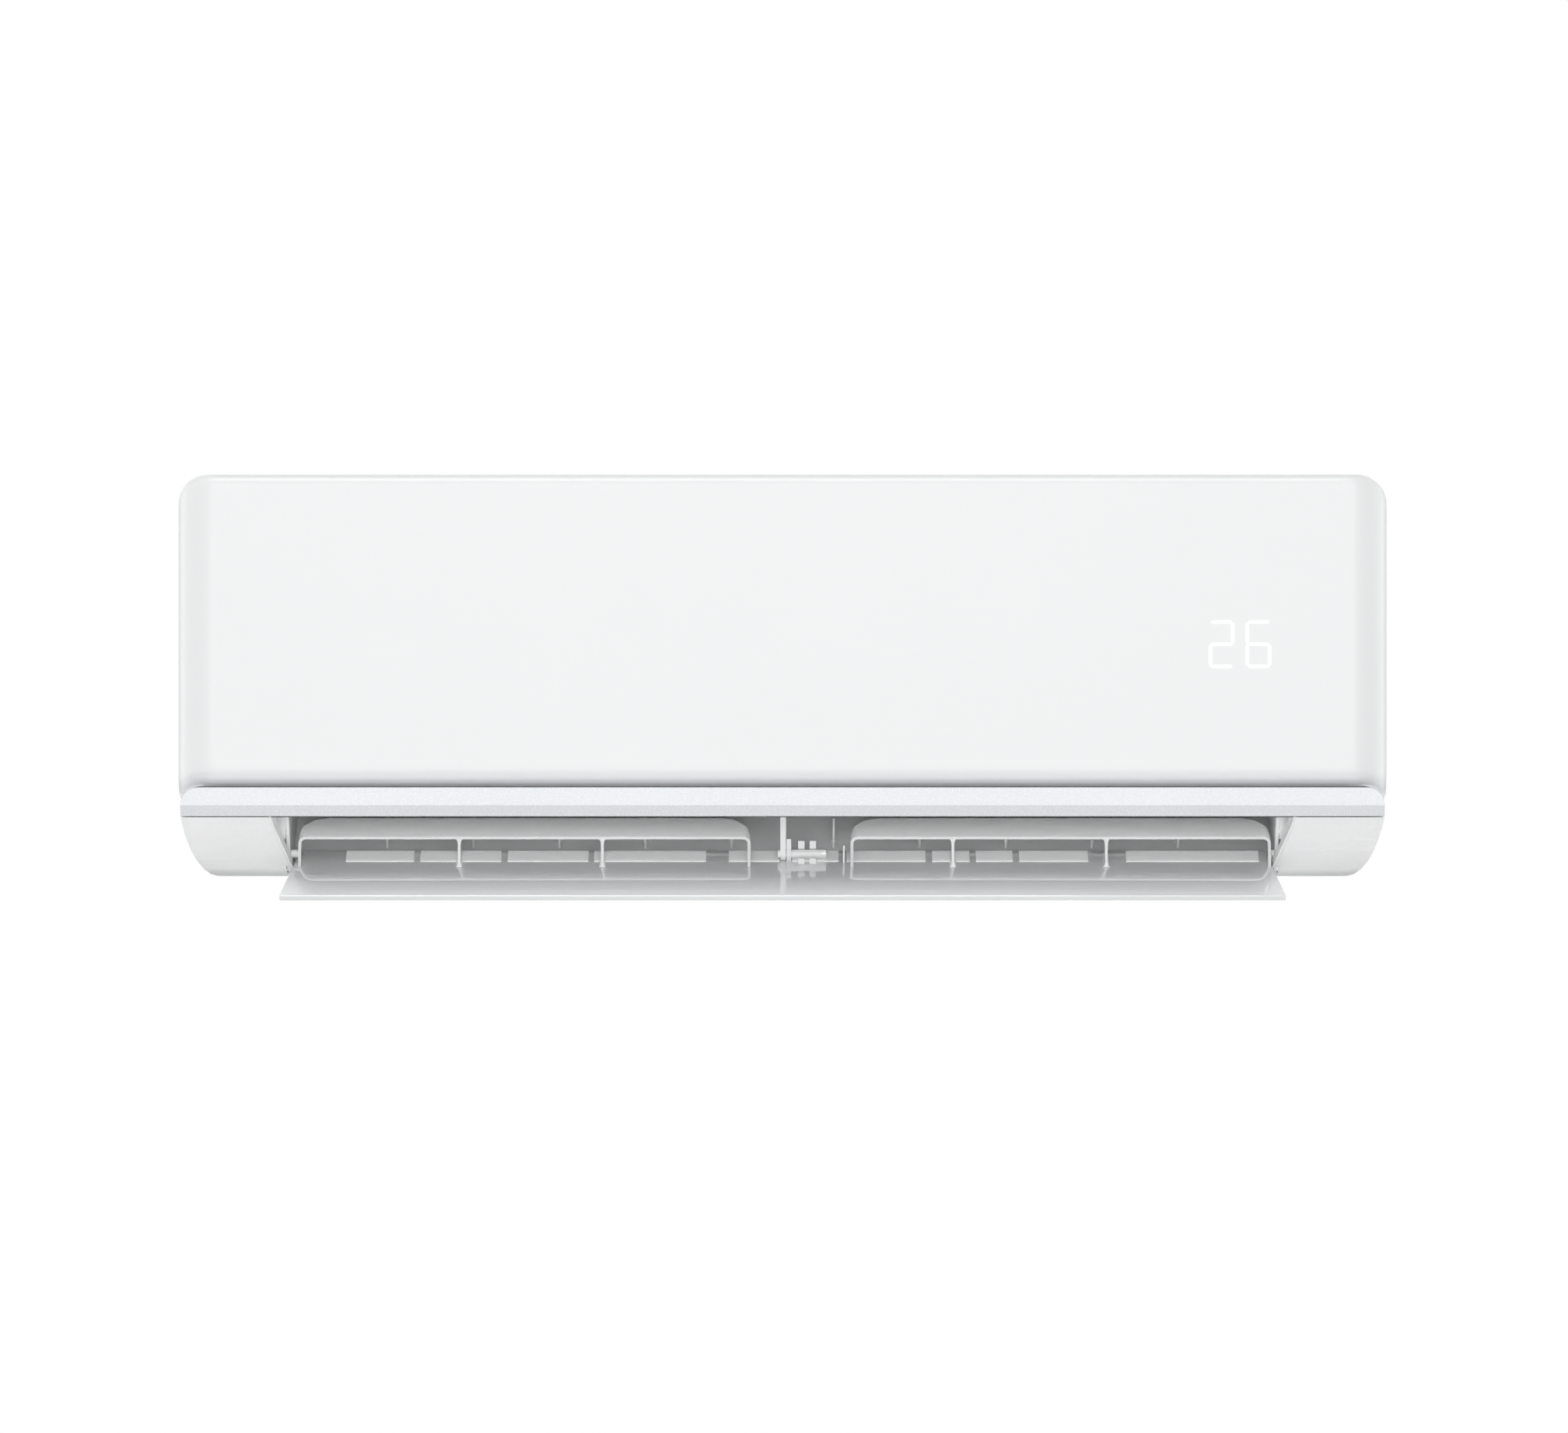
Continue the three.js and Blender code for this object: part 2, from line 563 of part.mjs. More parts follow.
function addFrontPanel() {
  const shell = cut(
    prismX(panelSide(0), -HALF, HALF).intersect(prismY(panelOutline(0), FRONT, 0)),
    prismX(panelSide(SHELL), -HALF, HALF).intersect(prismY(panelOutline(SHELL), FRONT, 0)),
    box(-HALF - 1, HALF + 1, PANEL_LIP_REAR, 0, HINGE.z - 13, TOP + 1));
  let panel = shell;
  const armIn = HALF - EAR_INSET + EAR_THICK + 1;
  const armThick = 4;
  for (const sign of [-1, 1]) {
    const arm = sided(sign, armIn, armIn + armThick);
    const pin = sided(sign, HALF - EAR_INSET + 0.5, armIn + 1);
    panel = join(panel,
      box(...arm, PANEL_FRONT + 1.5, HINGE.y + 3.4, HINGE.z - 14, HINGE.z + 3.2),
      rodX(HINGE_PIN, ...pin, HINGE.y, HINGE.z, 12));
  }
  add('front_panel', panel, finish(WHITE, 0.3));
}

function addDecoStrip() {
  const rear = FRAME_FRONT - SEAT;
  const side = [
    [rear, STRIP_TOP], [FRONT + 7, STRIP_TOP], [FRONT + 2.5, STRIP_TOP - 2.4], [FRONT, STRIP_CREASE],
    [FRONT + 3.5, STRIP_LOW], [rear, STRIP_LOW],
  ];
  const half = HALF - 2.2;
  const cornerWidth = 19.5;
  const cornerHeight = STRIP_TOP - STRIP_CREASE;
  const shape = new THREE.Shape();
  shape.moveTo(half, STRIP_CREASE);
  shape.absellipse(half - cornerWidth, STRIP_CREASE, cornerWidth, cornerHeight, 0, Math.PI / 2, false);
  shape.absellipse(-half + cornerWidth, STRIP_CREASE, cornerWidth, cornerHeight, Math.PI / 2, Math.PI, false);
  shape.lineTo(-half + 1, STRIP_LOW);
  shape.lineTo(half - 1, STRIP_LOW);
  const outline = shape.getPoints(6).map((point) => [point.x, point.y]);
  const strip = prismX(side, -HALF, HALF).intersect(prismY(outline, FRONT - 1, 0));
  add('deco_strip', strip, finish(0xe4e8ec, 0.25, 0.3));
}

const TAB = {
  stand: 1.2, low: BOTTOM + 74.9, high: BOTTOM + 102.7, front: FRAME_FRONT + 14, rear: FRAME_FRONT + 60,
};

function addSideTabs() {
  const taper = 3;
  const outline = [
    [TAB.front, TAB.low], [TAB.front, TAB.high], [TAB.rear, TAB.high - taper], [TAB.rear, TAB.low + taper]];
  const foot = FRAME_HALF + SEAT;
  for (const [name, sign] of [['side_tab_left', -1], ['side_tab_right', 1]]) {
    add(name, prismX(outline, ...sided(sign, foot, foot + TAB.stand)), finish(WHITE, 0.4));
  }
}

// ---- filters, each drawn about the middle of its foot ----
const FILTER_IN = RAIL / 2 + SEAT;
const FILTER_OUT = DUCT_HALF + 7;
const FILTER_BARS = 3;
const FILTER_BAR = 3;
const FILTER_GRIP = { half: 25, rise: 2, low: 8 };

function addFilters() {
  const half = (FILTER_OUT - FILTER_IN) / 2;
  const tall = FILTER_TOP - FILTER_LOW;
  const deep = FILTER_THICK / 2;
  const windowHalf = half - FILTER_BORDER;
  const windowTop = tall - FILTER_BORDER * 2;
  for (const [side, sign] of [['left', -1], ['right', 1]]) {
    const group = new THREE.Group();
    group.position.set((sign * (FILTER_IN + FILTER_OUT)) / 2, FILTER_FRONT + FILTER_THICK / 2, FILTER_LOW);
    unit.add(group);
    let frame = cut(box(-half, half, -deep, deep, 0, tall),
      box(-windowHalf, windowHalf, -deep - 1, deep + 1, FILTER_BORDER, windowTop));
    for (let i = 1; i <= FILTER_BARS; i += 1) {
      const x = -half + (2 * half * i) / (FILTER_BARS + 1);
      frame = join(frame, box(x - FILTER_BAR / 2, x + FILTER_BAR / 2, -deep, deep - 1, 2, tall - 2));
    }
    const grip = FILTER_GRIP;
    frame = join(frame, box(-grip.half, grip.half, -deep, deep, tall - grip.low, tall + grip.rise));
    add(`filter_frame_${side}`, frame, finish(0xd4d9dc, 0.5), group);
    const netHalf = windowHalf - SEAT;
    const net = box(-netHalf, netHalf, deep - 1 + SEAT, deep, FILTER_BORDER + SEAT, windowTop - SEAT);
    add(`filter_net_${side}`, net, finish(0x8f979c, 0.8), group);
  }
}

// ---- evaporator ----
const APEX = TOP - 38;
const COIL = {
  lower: { foot: [FRONT + 44, PAN_REST + 4], head: [FRONT + 44, BOTTOM + 161.7] },
  upper: { foot: [FRONT + 47, BOTTOM + 176.7], head: [FRONT + 94, APEX] },
  rear: { foot: [-42, BOTTOM + 186.7], head: [FRONT + 118, APEX] },
};
const TUBE_COUNTS = { rear: 4, upper: 5, lower: 5 };

// Tube centres of a slab from its foot to its head.
function tubePlaces(name) {
  const { foot, head } = COIL[name];
  const count = TUBE_COUNTS[name];
  const places = [];
  for (let i = 0; i < count; i += 1) {
    const share = (i + 0.5) / count;
    places.push([foot[0] + (head[0] - foot[0]) * share, foot[1] + (head[1] - foot[1]) * share]);
  }
  return places;
}

const CIRCUIT = [...tubePlaces('rear'), ...tubePlaces('upper').reverse(), ...tubePlaces('lower').reverse()];
[COIL.inlet] = CIRCUIT;
COIL.outlet = CIRCUIT[CIRCUIT.length - 1];

function slabOutline(name, grow = 0) {
  const { foot, head } = COIL[name];
  const along = new THREE.Vector2(head[0] - foot[0], head[1] - foot[1]).normalize();
  const across = new THREE.Vector2(-along.y, along.x).multiplyScalar(COIL_THICK / 2);
  const place = (end, side, extra) => [
    end[0] + across.x * side + along.x * extra, end[1] + across.y * side + along.y * extra];
  return [place(foot, -1, -grow), place(head, -1, grow), place(head, 1, grow), place(foot, 1, -grow)];
}

const PLATE_THICK = 1.2;
const RETURN_REACH = 9;
const TAIL_END = DUCT_HALF + 8;

// Side view of the tie that joins the end plate's lower and upper parts.
const PLATE_TIE = [
  [FRONT + 36, BOTTOM + 150], [FRONT + 54, BOTTOM + 150],
  [FRONT + 62, BOTTOM + 185], [FRONT + 40, BOTTOM + 185],
];

function addEvaporator() {
  const holes = (x0, x1) => CIRCUIT.map(([y, z]) => rodX(TUBE_HOLE, x0, x1, y, z, 8));
  for (const name of ['lower', 'upper', 'rear']) {
    const block = prismX(slabOutline(name), -COIL_HALF, COIL_HALF);
    add(`evap_fins_${name}`, cut(block, ...holes(-COIL_HALF - 1, COIL_HALF + 1)), finish(FIN, 0.4, 0.9));
  }
  const [, [footY, footZ]] = slabOutline('rear');
  for (const [side, sign] of [['left', -1], ['right', 1]]) {
    const span = sided(sign, COIL_HALF + SEAT, COIL_HALF + SEAT + PLATE_THICK);
    const foot = sided(sign, COIL_HALF + SEAT, DUCT_HALF - SEAT);
    const plate = join(
      prismX(slabOutline('lower', 1), ...span), prismX(slabOutline('upper', 8), ...span),
      prismX(slabOutline('rear', 8), ...span), prismX(PLATE_TIE, ...span),
      box(...foot, footY, footY + 10, footZ - PLATE_THICK, footZ));
    add(`evap_plate_${side}`, cut(plate, ...holes(span[0] - 1, span[1] + 1)), finish(ZINC, 0.4, 0.8));
  }
  const right = COIL_HALF + RETURN_REACH;
  const left = -right;
  const corners = [[TAIL_END, ...CIRCUIT[0]]];
  CIRCUIT.forEach(([y, z], index) => {
    const [from, to] = index % 2 === 0 ? [right, left] : [left, right];
    if (index > 0) {
      corners.push([from, y, z]);
    }
    if (index < CIRCUIT.length - 1) {
      corners.push([to, y, z]);
    }
  });
  corners.push([TAIL_END, ...COIL.outlet]);
  add('evap_tubes', tube(corners, TUBE_RADIUS, RETURN_REACH, 8, 3), finish(COPPER, 0.35, 0.9));
}

// ---- drain pan ----
const SPIGOT = { y: FRONT + 45, z: PAN_REST + 10, radius: 8, bore: 5, reach: 18 };
const PAN_BACK = FRONT + 56.5;

function addDrainPan() {
  const end = DUCT_HALF - SEAT;
  const front = FRAME_FRONT + SHELL + 0.7;
  const floor = PAN_REST - 0.3;
  const trough = [
    [front, floor + 14], [front + SHELL, floor + 14], [front + SHELL, floor], [PAN_BACK, floor],
    [PAN_BACK, floor + 15], [FRONT + 59.5, floor + 17], [FRONT + 69.5, floor + 14.5],
    [FRONT + 68.5, floor + 12], [FRONT + 60, floor + 10], [FRONT + 58.8, floor - 4],
    [front + SHELL, CHEEK_TOP + 1], [front, CHEEK_TOP + 1],
  ];
  let pan = prismX(trough, -end, end);
  for (const [x0, x1] of [[-end, -end + SHELL], [end - SHELL, end]]) {
    pan = join(pan, prismX([
      [front, floor + 20], [FRONT + 59, floor + 17], [FRONT + 58.8, floor - 1], [front, floor - 1]], x0, x1));
  }
  for (const x of [-COIL_HALF + 30, 0, COIL_HALF - 30]) {
    pan = join(pan, box(x - 4, x + 4, front + 1, PAN_BACK + 0.5, floor - 1, PAN_REST + 4 - SEAT));
  }
  const tip = -BULKHEAD_OUT - SPIGOT.reach;
  pan = join(pan, rodX(SPIGOT.radius, tip, -end + 1, SPIGOT.y, SPIGOT.z, 12));
  pan = cut(pan, rodX(SPIGOT.bore, tip - 1, -end + SHELL + 1, SPIGOT.y, SPIGOT.z, 10));
  pan = cut(pan, rodX(TUBE_HOLE, end - SHELL - 1, end + 1, ...COIL.outlet, 8));
  add('drain_pan', pan, finish(INNER_WHITE, 0.55));
}

// ---- fan and motor ----
const BEARING = { bore: 5, raceOut: 9, seatOut: 13.5 };
const MOTOR = { x0: BULKHEAD_OUT + 4, x1: HALF - 16, radius: 40, shaft: 4 };
MOTOR.mid = (MOTOR.x0 + MOTOR.x1) / 2;
const HUB = { radius: 11, length: 18 };
const BLADE_DEPTH = 9;

function addFan() {
  const group = new THREE.Group();
  group.position.set(0, FAN.y, FAN.z);
  unit.add(group);
  const rings = [-FAN_HALF / 3, FAN_HALF / 3];
  const inner = FAN_RADIUS - BLADE_DEPTH;
  let wheel = rodX(FAN_RADIUS, -FAN_HALF, -FAN_HALF + 2, 0, 0, 24);
  wheel = join(wheel, rodX(FAN_RADIUS, FAN_HALF - 2, FAN_HALF, 0, 0, 24));
  for (const x of rings) {
    wheel = join(wheel, cut(rodX(FAN_RADIUS, x - 1, x + 1, 0, 0, 24), rodX(inner, x - 2, x + 2, 0, 0, 24)));
  }
  for (let i = 0; i < BLADES; i += 1) {
    const turn = (i / BLADES) * Math.PI * 2;
    const at = (radius, lag) => [Math.cos(turn + lag) * radius, Math.sin(turn + lag) * radius];
    const foot = inner + 0.6;
    const tip = FAN_RADIUS - 1;
    const blade = [at(foot, 0), at(tip, 0.11), at(tip, 0.14), at(foot, 0.05)];
    wheel = join(wheel, prismX(blade, -FAN_HALF + 1, FAN_HALF - 1));
  }
  for (const sign of [-1, 1]) {
    const hub = sided(sign, FAN_HALF - HUB.length, FAN_HALF);
    const bore = sign < 0 ? BEARING.bore : MOTOR.shaft;
    wheel = join(wheel, rodX(HUB.radius, ...hub, 0, 0, 16));
    wheel = cut(wheel, rodX(bore + SEAT, hub[0] - 1, hub[1] + 1, 0, 0, 16));
  }
  add('fan_wheel', wheel, finish(DARK, 0.6), group);
  const stub = rodX(BEARING.bore, -BULKHEAD_OUT - 2, -FAN_HALF + HUB.length - 1, 0, 0, 16);
  add('fan_end_shaft', stub, finish(ZINC, 0.3, 0.9), group);
  const shaft = rodX(MOTOR.shaft, FAN_HALF - HUB.length + 1, MOTOR.x0 + 12, 0, 0, 16);
  add('motor_shaft', shaft, finish(ZINC, 0.3, 0.9), group);
}

function addFanBearing() {
  const x0 = -BULKHEAD_OUT - 1;
  const x1 = -DUCT_HALF + 2;
  const race = cut(rodX(BEARING.raceOut, x0, x1, FAN.y, FAN.z, 16),
    rodX(BEARING.bore + PIN_CLEARANCE, x0 - 1, x1 + 1, FAN.y, FAN.z, 16));
  add('fan_bearing', race, finish(0x8c6a3a, 0.4, 0.7));
  const seat = cut(rodX(BEARING.seatOut, x0, x1, FAN.y, FAN.z, 16),
    rodX(BEARING.raceOut + SEAT, x0 - 1, x1 + 1, FAN.y, FAN.z, 16));
  add('bearing_seat', seat, finish(0x222426, 0.85));
}

const STRAP = { thick: 3, half: 12, foot: 16.7 };

function addFanMotor() {
  const { x0, x1, radius, mid } = MOTOR;
  const boss = 14;
  let motor = join(
    rodX(radius, x0 + 2, x1 - 4, FAN.y, FAN.z, 24),
    rodX(boss, x0, x1, FAN.y, FAN.z, 16));
  motor = cut(motor, rodX(MOTOR.shaft + PIN_CLEARANCE, x0 - 1, x0 + 14, FAN.y, FAN.z, 16));
  add('fan_motor', motor, finish(0xd9dbdb, 0.5));
  const reach = radius + SEAT;
  const footLow = FAN.z - STRAP.foot - STRAP.thick;
  const span = [mid - STRAP.half, mid + STRAP.half];
  const wide = [span[0] - 1, span[1] + 1];
  const hollow = rodX(reach, ...wide, FAN.y, FAN.z, 24);
  const ring = cut(rodX(reach + STRAP.thick, ...span, FAN.y, FAN.z, 24), hollow,
    box(...wide, FAN.y - 60, FAN.y + 60, FAN.z - 60, footLow));
  const foot = cut(
    box(...span, FAN.y + reach - 4, FRAME_REAR - SHELL - SEAT, footLow, FAN.z - STRAP.foot), hollow);
  add('motor_clamp', join(ring, foot), finish(INNER_WHITE, 0.6));
}

// ---- controls ----
const CONTROL = {
  x0: BULKHEAD_OUT + 4, x1: HALF - 8, y0: FRAME_FRONT + 8, y1: -78, z0: FAN.z + 56, z1: TOP - 26, wall: 2,
};
const BUTTON = { x: HALF - 30, z: BOTTOM + 108, radius: 4, flange: 2 };
const DISPLAY = { x: HALF - 108, z: 23.2, half: 32, tall: 26, lamp: 6 };
const TERMINAL = { tall: 12, ways: 4 };
const BOARD = { thick: 1.6, margin: 6 };

// Blocks on the control board: place and size along Y, place and size along Z, height off the board.
const BOARD_BLOCKS = [
  [14, 20, 0.26, 14.4, 20], [14, 14, 0.6, 10.8, 16], [46, 12, 0.22, 7.2, 26], [46, 18, 0.44, 15.6, 12],
];
const CAPACITORS = { radius: 5, tall: 23, y: 42, rises: [8, 20] };

function addControls() {
  const { x0, x1, y0, y1, z0, z1, wall } = CONTROL;
  let tray = cut(box(x0, x1, y0, y1, z0, z1),
    box(x0 + wall, x1 - wall, y0 - 1, y1 - wall, z0 + wall, z1 - wall));
  tray = join(tray,
    box(BULKHEAD_OUT + SEAT, x0 + 1, y0 + 20, y0 + 40, z0 + 10, z1 - 10),
    box(x0 + wall - 1, x0 + wall + 3, y0 + 24, y0 + 28, z0 + 12, z0 + 20));
  tray = cut(tray, rodX(3, x1 - 3, x1 + 1, (y0 + y1) / 2, z0 + 14, 10));
  add('control_box', tray, finish(0xe8e8e4, 0.6));
  const inset = wall + SEAT;
  const lid = join(
    box(x0, x1, y0 - wall - SEAT, y0 - SEAT, z0, z1),
    box(x0 + inset, x1 - inset, y0 - 1, y0 + 4, z1 - inset - 2, z1 - inset));
  add('control_box_cover', lid, finish(ZINC, 0.4, 0.7));
  const boardX = x0 + wall + 3 + SEAT;
  const boardLow = z0 + BOARD.margin;
  const boardHigh = z1 - BOARD.margin;
  let board = box(boardX, boardX + BOARD.thick, y0 + 8, y1 - BOARD.margin, boardLow, boardHigh);
  for (const [dy, deep, share, tall, rise] of BOARD_BLOCKS) {
    const y = y0 + 8 + dy;
    const z = boardLow + share * (boardHigh - boardLow);
    board = join(board, box(boardX + 1, boardX + 1 + rise, y, y + deep, z, z + tall));
  }
  for (const rise of CAPACITORS.rises) {
    board = join(board, rodX(CAPACITORS.radius, boardX + 1, boardX + 1 + CAPACITORS.tall,
      y0 + CAPACITORS.y, boardLow + rise, 10));
  }
  add('control_board', board, finish(0x2f6b3c, 0.5));
  const blockTop = z0 - SEAT;
  let terminal = box(x0 + 8, x1 - 8, y0 + 4, y0 + 24, blockTop - TERMINAL.tall, blockTop);
  for (let i = 0; i < TERMINAL.ways; i += 1) {
    const x = x0 + 14 + (i * (x1 - x0 - 28)) / (TERMINAL.ways - 1);
    terminal = cut(terminal,
      box(x - 3, x + 3, y0 + 3, y0 + TERMINAL.tall, blockTop - TERMINAL.tall - 1, blockTop - 5));
  }
  add('terminal_block', terminal, finish(0xd8d2c0, 0.6));
  const clampTop = blockTop - TERMINAL.tall - SEAT;
  const clamp = cut(box(x0 + 16, x1 - 16, y0 + 10, y0 + 22, clampTop - 8, clampTop),
    rodY(3.4, y0 + 9, y0 + 23, (x0 + x1) / 2, clampTop - 5));
  add('cable_clamp', clamp, finish(DARK, 0.7));
}

function addDisplay() {
  const face = PANEL_FRONT + SHELL + 0.9;
  const { x, z, half, tall, lamp } = DISPLAY;
  const board = join(
    box(x - half, x + half, face + 5, face + 5 + BOARD.thick, z - tall, z + tall),
    box(x - half + lamp, x + half - lamp, face, face + 5.5, z - tall + lamp, z + tall - lamp));
  add('display_board', board, finish(0x2f6b3c, 0.5));
}

function addButton() {
  const head = rodY(BUTTON.radius, FRAME_FRONT - 3.5, FRAME_FRONT + SHELL + 1, BUTTON.x, BUTTON.z);
  const back = FRAME_FRONT + SHELL;
  const flange = rodY(BUTTON.radius + BUTTON.flange, back + SEAT, back + 2, BUTTON.x, BUTTON.z);
  add('auto_button', join(head, flange), finish(WHITE, 0.4));
}

const SENSOR = { inset: 40, radius: 2, half: 10, clip: 4 };

function addSensors() {
  const y = Math.min(...slabOutline('lower').map((point) => point[0]));
  const z = (COIL.lower.foot[1] + COIL.lower.head[1]) / 2;
  const x = COIL_HALF - SENSOR.inset;
  const { clip } = SENSOR;
  const room = join(
    rodZ(SENSOR.radius, z - SENSOR.half, z + SENSOR.half, x, y - 2.4),
    box(x - clip, x + clip, y - 2.6, y - SEAT, z - clip, z + clip));
  add('room_sensor', room, finish(0x2a2a2a, 0.6));
  const [tubeY, tubeZ] = COIL.inlet;
  const collar = cut(rodX(6.5, DUCT_HALF + 4.3, DUCT_HALF + 6.8, tubeY, tubeZ, 12),
    rodX(TUBE_RADIUS + SEAT, DUCT_HALF + 3, DUCT_HALF + 8, tubeY, tubeZ, 8));
  const sensor = join(collar, rodX(2.2, DUCT_HALF + 3.5, DUCT_HALF + 20, tubeY, tubeZ + 7.6, 8));
  add('pipe_sensor', sensor, finish(COPPER, 0.4, 0.8));
}

// ---- louver, drawn closed about its pivot and turned open by its group ----
function fromPivot(points) {
  return points.map(([y, z]) => [y - PIVOT.y, z - PIVOT.z]);
}

const FLAP_INSET = 0.5;
const RIB_FOOT = { rear: 0.04, front: 0.25 };
const VANE_FRONT = [7.6, 11.7];
const VANE_REAR = [29.9, 0.3];
const VANE_THICK = 2.2;

// Trims the flap's ends: wider at its front edge than at its rear edge, as the outlet is.
function flapTrim() {
  const front = new THREE.Vector3(0, SWEEP_TOP.x - PIVOT.y, SWEEP_TOP.y - PIVOT.z);
  const rear = new THREE.Vector3(0, SWEEP_LOW.x - PIVOT.y, SWEEP_LOW.y - PIVOT.z);
  const along = rear.clone().sub(front).normalize();
  const across = new THREE.Vector3(1, 0, 0);
  const out = across.clone().cross(along);
  const chord = rear.distanceTo(front);
  const reach = 30;
  const basis = new THREE.Matrix4().makeBasis(across, along, out);
  basis.setPosition(front.clone().addScaledVector(out, -reach));
  const spread = (FLAP_FRONT_HALF - FLAP_REAR_HALF) / chord;
  const extra = 4;
  const wide = FLAP_FRONT_HALF + spread * extra;
  const narrow = FLAP_REAR_HALF - spread * extra;
  return extrude([
    [-wide, -extra], [wide, -extra], [narrow, chord + extra], [-narrow, chord + extra],
  ], reach * 2, basis);
}

// The flap's flat inner face: a place on it by its share from the rear edge, raised by rise.
function innerFace(outside) {
  const front = new THREE.Vector2(...outside[0]);
  const rear = new THREE.Vector2(...outside[outside.length - 1]);
  const along = front.clone().sub(rear);
  const inward = new THREE.Vector2(along.y, -along.x).normalize();
  return (share, rise) => {
    const place = rear.clone().addScaledVector(along, share).addScaledVector(inward, FLAP_RIM + rise);
    return [place.x, place.y];
  };
}

const STAY = { x0: -1.7, x1: 2.6, eye: 4.7, edge: 4.4 };
const LUG = { x0: STAY.x1 + SEAT, x1: 6.5, radius: 6.5 };
const POSTS = { places: [11.4, 19.9], width: 4.8 };
const RIB_EYE = 4.6;
const PIN_END = 32.4;
const CRANK_REACH = 8;

// The flap with its middle lug and the two posts that hold the hinge pin.
function flapBody(outside, flapFace) {
  const body = prismX([...outside, flapFace(0, 0), flapFace(1, 0)], -HALF, HALF).intersect(flapTrim());
  const lug = prismX([
    flapFace(RIB_FOOT.front, -0.5), flapFace(RIB_FOOT.rear, -0.5), [6, 2], [-6, 2]], LUG.x0, LUG.x1);
  let flap = join(body, lug, rodX(LUG.radius, LUG.x0, LUG.x1, 0, 0, 16));
  const pinSide = -LOUVER_PIN - SEAT;
  for (const x of POSTS.places) {
    flap = join(flap, prismX([
      flapFace(0.3, -0.5), flapFace(0.1, -0.5), [LOUVER_PIN, pinSide], [-LOUVER_PIN, pinSide],
    ], x, x + POSTS.width));
  }
  return cut(flap, rodX(LOUVER_PIN + PIN_CLEARANCE, LUG.x0 - 1, LUG.x1 + 1, 0, 0, 12));
}

// An inner vane with its ribs down to the flap and the eye that its pin turns with.
function vaneBody(side, ribs, flapFace) {
  const slope = new THREE.Vector2(VANE_REAR[0] - VANE_FRONT[0], VANE_REAR[1] - VANE_FRONT[1]).normalize();
  const under = ([y, z]) => [y + slope.y * VANE_THICK, z - slope.x * VANE_THICK];
  const rib = [flapFace(RIB_FOOT.front, SEAT), flapFace(RIB_FOOT.rear, SEAT), VANE_REAR, VANE_FRONT];
  const end = RIB_THICK / 2;
  const low = Math.min(...ribs) - end;
  const high = Math.max(...ribs) + end;
  let vane = prismX([VANE_FRONT, VANE_REAR, under(VANE_REAR), under(VANE_FRONT)], low, high);
  for (const x of ribs) {
    vane = join(vane, prismX(rib, x - end, x + end));
  }
  const eye = side === 'left' ? low : high - RIB_THICK;
  return join(vane, rodX(RIB_EYE, eye, eye + RIB_THICK, 0, 0, 16));
}

function addLouver() {
  const group = new THREE.Group();
  group.position.set(0, PIVOT.y, PIVOT.z);
  group.rotation.x = LOUVER_OPEN;
  unit.add(group);
  const outside = fromPivot(sweepPoints(FLAP_INSET, 0.02));
  const flapFace = innerFace(outside);
  add('louver_flap', flapBody(outside, flapFace), finish(0xd9dadb, 0.18), group);
  const sides = [
    ['left', [...LEFT_RIBS, LEFT_MIDDLE_RIB]],
    ['right', [...RIGHT_RIBS, RIGHT_MIDDLE_RIB]],
  ];
  for (const [side, ribs] of sides) {
    add(`louver_vane_${side}`, vaneBody(side, ribs, flapFace), finish(0xeeeeee, 0.3), group);
  }
  const ribOut = RIB_THICK / 2 + SEAT;
  const pins = [
    ['louver_pivot_pin', -BULKHEAD_OUT - 2, LEFT_RIBS[0] - ribOut],
    ['louver_crank', RIGHT_RIBS[0] + ribOut, BULKHEAD_OUT + CRANK_REACH],
    ['louver_hinge_pin', STAY.x0 - 2, PIN_END],
  ];
  for (const [name, x0, x1] of pins) {
    add(name, rodX(LOUVER_PIN, x0, x1, 0, 0, 12), finish(0xdddddd, 0.4), group);
  }
}

// Height of the outlet's ceiling, the drain pan's underside, at a depth y.
function ceilingZ(y) {
  const rear = [FRONT + 58.8, PAN_REST - 4.3];
  const front = [FRAME_FRONT + SHELL * 2 + 0.7, CHEEK_TOP + 1];
  const share = (y - rear[0]) / (front[0] - rear[0]);
  return rear[1] + (front[1] - rear[1]) * share;
}

function addCentreStay() {
  const [rearY, frontY] = [FRONT + 58, FRONT + 46];
  const { x0, x1, eye, edge } = STAY;
  const web = prismX([
    [PIVOT.y + edge, PIVOT.z], [rearY, ceilingZ(rearY) - SEAT], [frontY, ceilingZ(frontY) - SEAT],
    [PIVOT.y - 6, PIVOT.z + 22], [PIVOT.y - edge, PIVOT.z],
  ], x0, x1);
  const ring = rodX(eye, x0, x1, PIVOT.y, PIVOT.z, 16);
  const bore = rodX(LOUVER_PIN + PIN_CLEARANCE, x0 - 1, x1 + 1, PIVOT.y, PIVOT.z, 12);
  add('centre_stay', cut(join(web, ring), bore), finish(0xc8cacb, 0.45));
}

const LOUVER_MOTOR = { radius: 9.6, length: 17, bore: 11, ear: 15 };

function addLouverMotor() {
  const x0 = BULKHEAD_OUT + SEAT;
  const { radius, length, bore, ear } = LOUVER_MOTOR;
  const motor = join(
    rodX(radius, x0, x0 + length, PIVOT.y, PIVOT.z, 20),
    box(x0, x0 + 2, PIVOT.y - 4, PIVOT.y + 4, PIVOT.z + 6, PIVOT.z + ear));
  const socket = rodX(LOUVER_PIN + PIN_CLEARANCE, x0 - 1, x0 + bore, PIVOT.y, PIVOT.z, 12);
  add('louver_motor', cut(motor, socket), finish(ZINC, 0.4, 0.6));
}

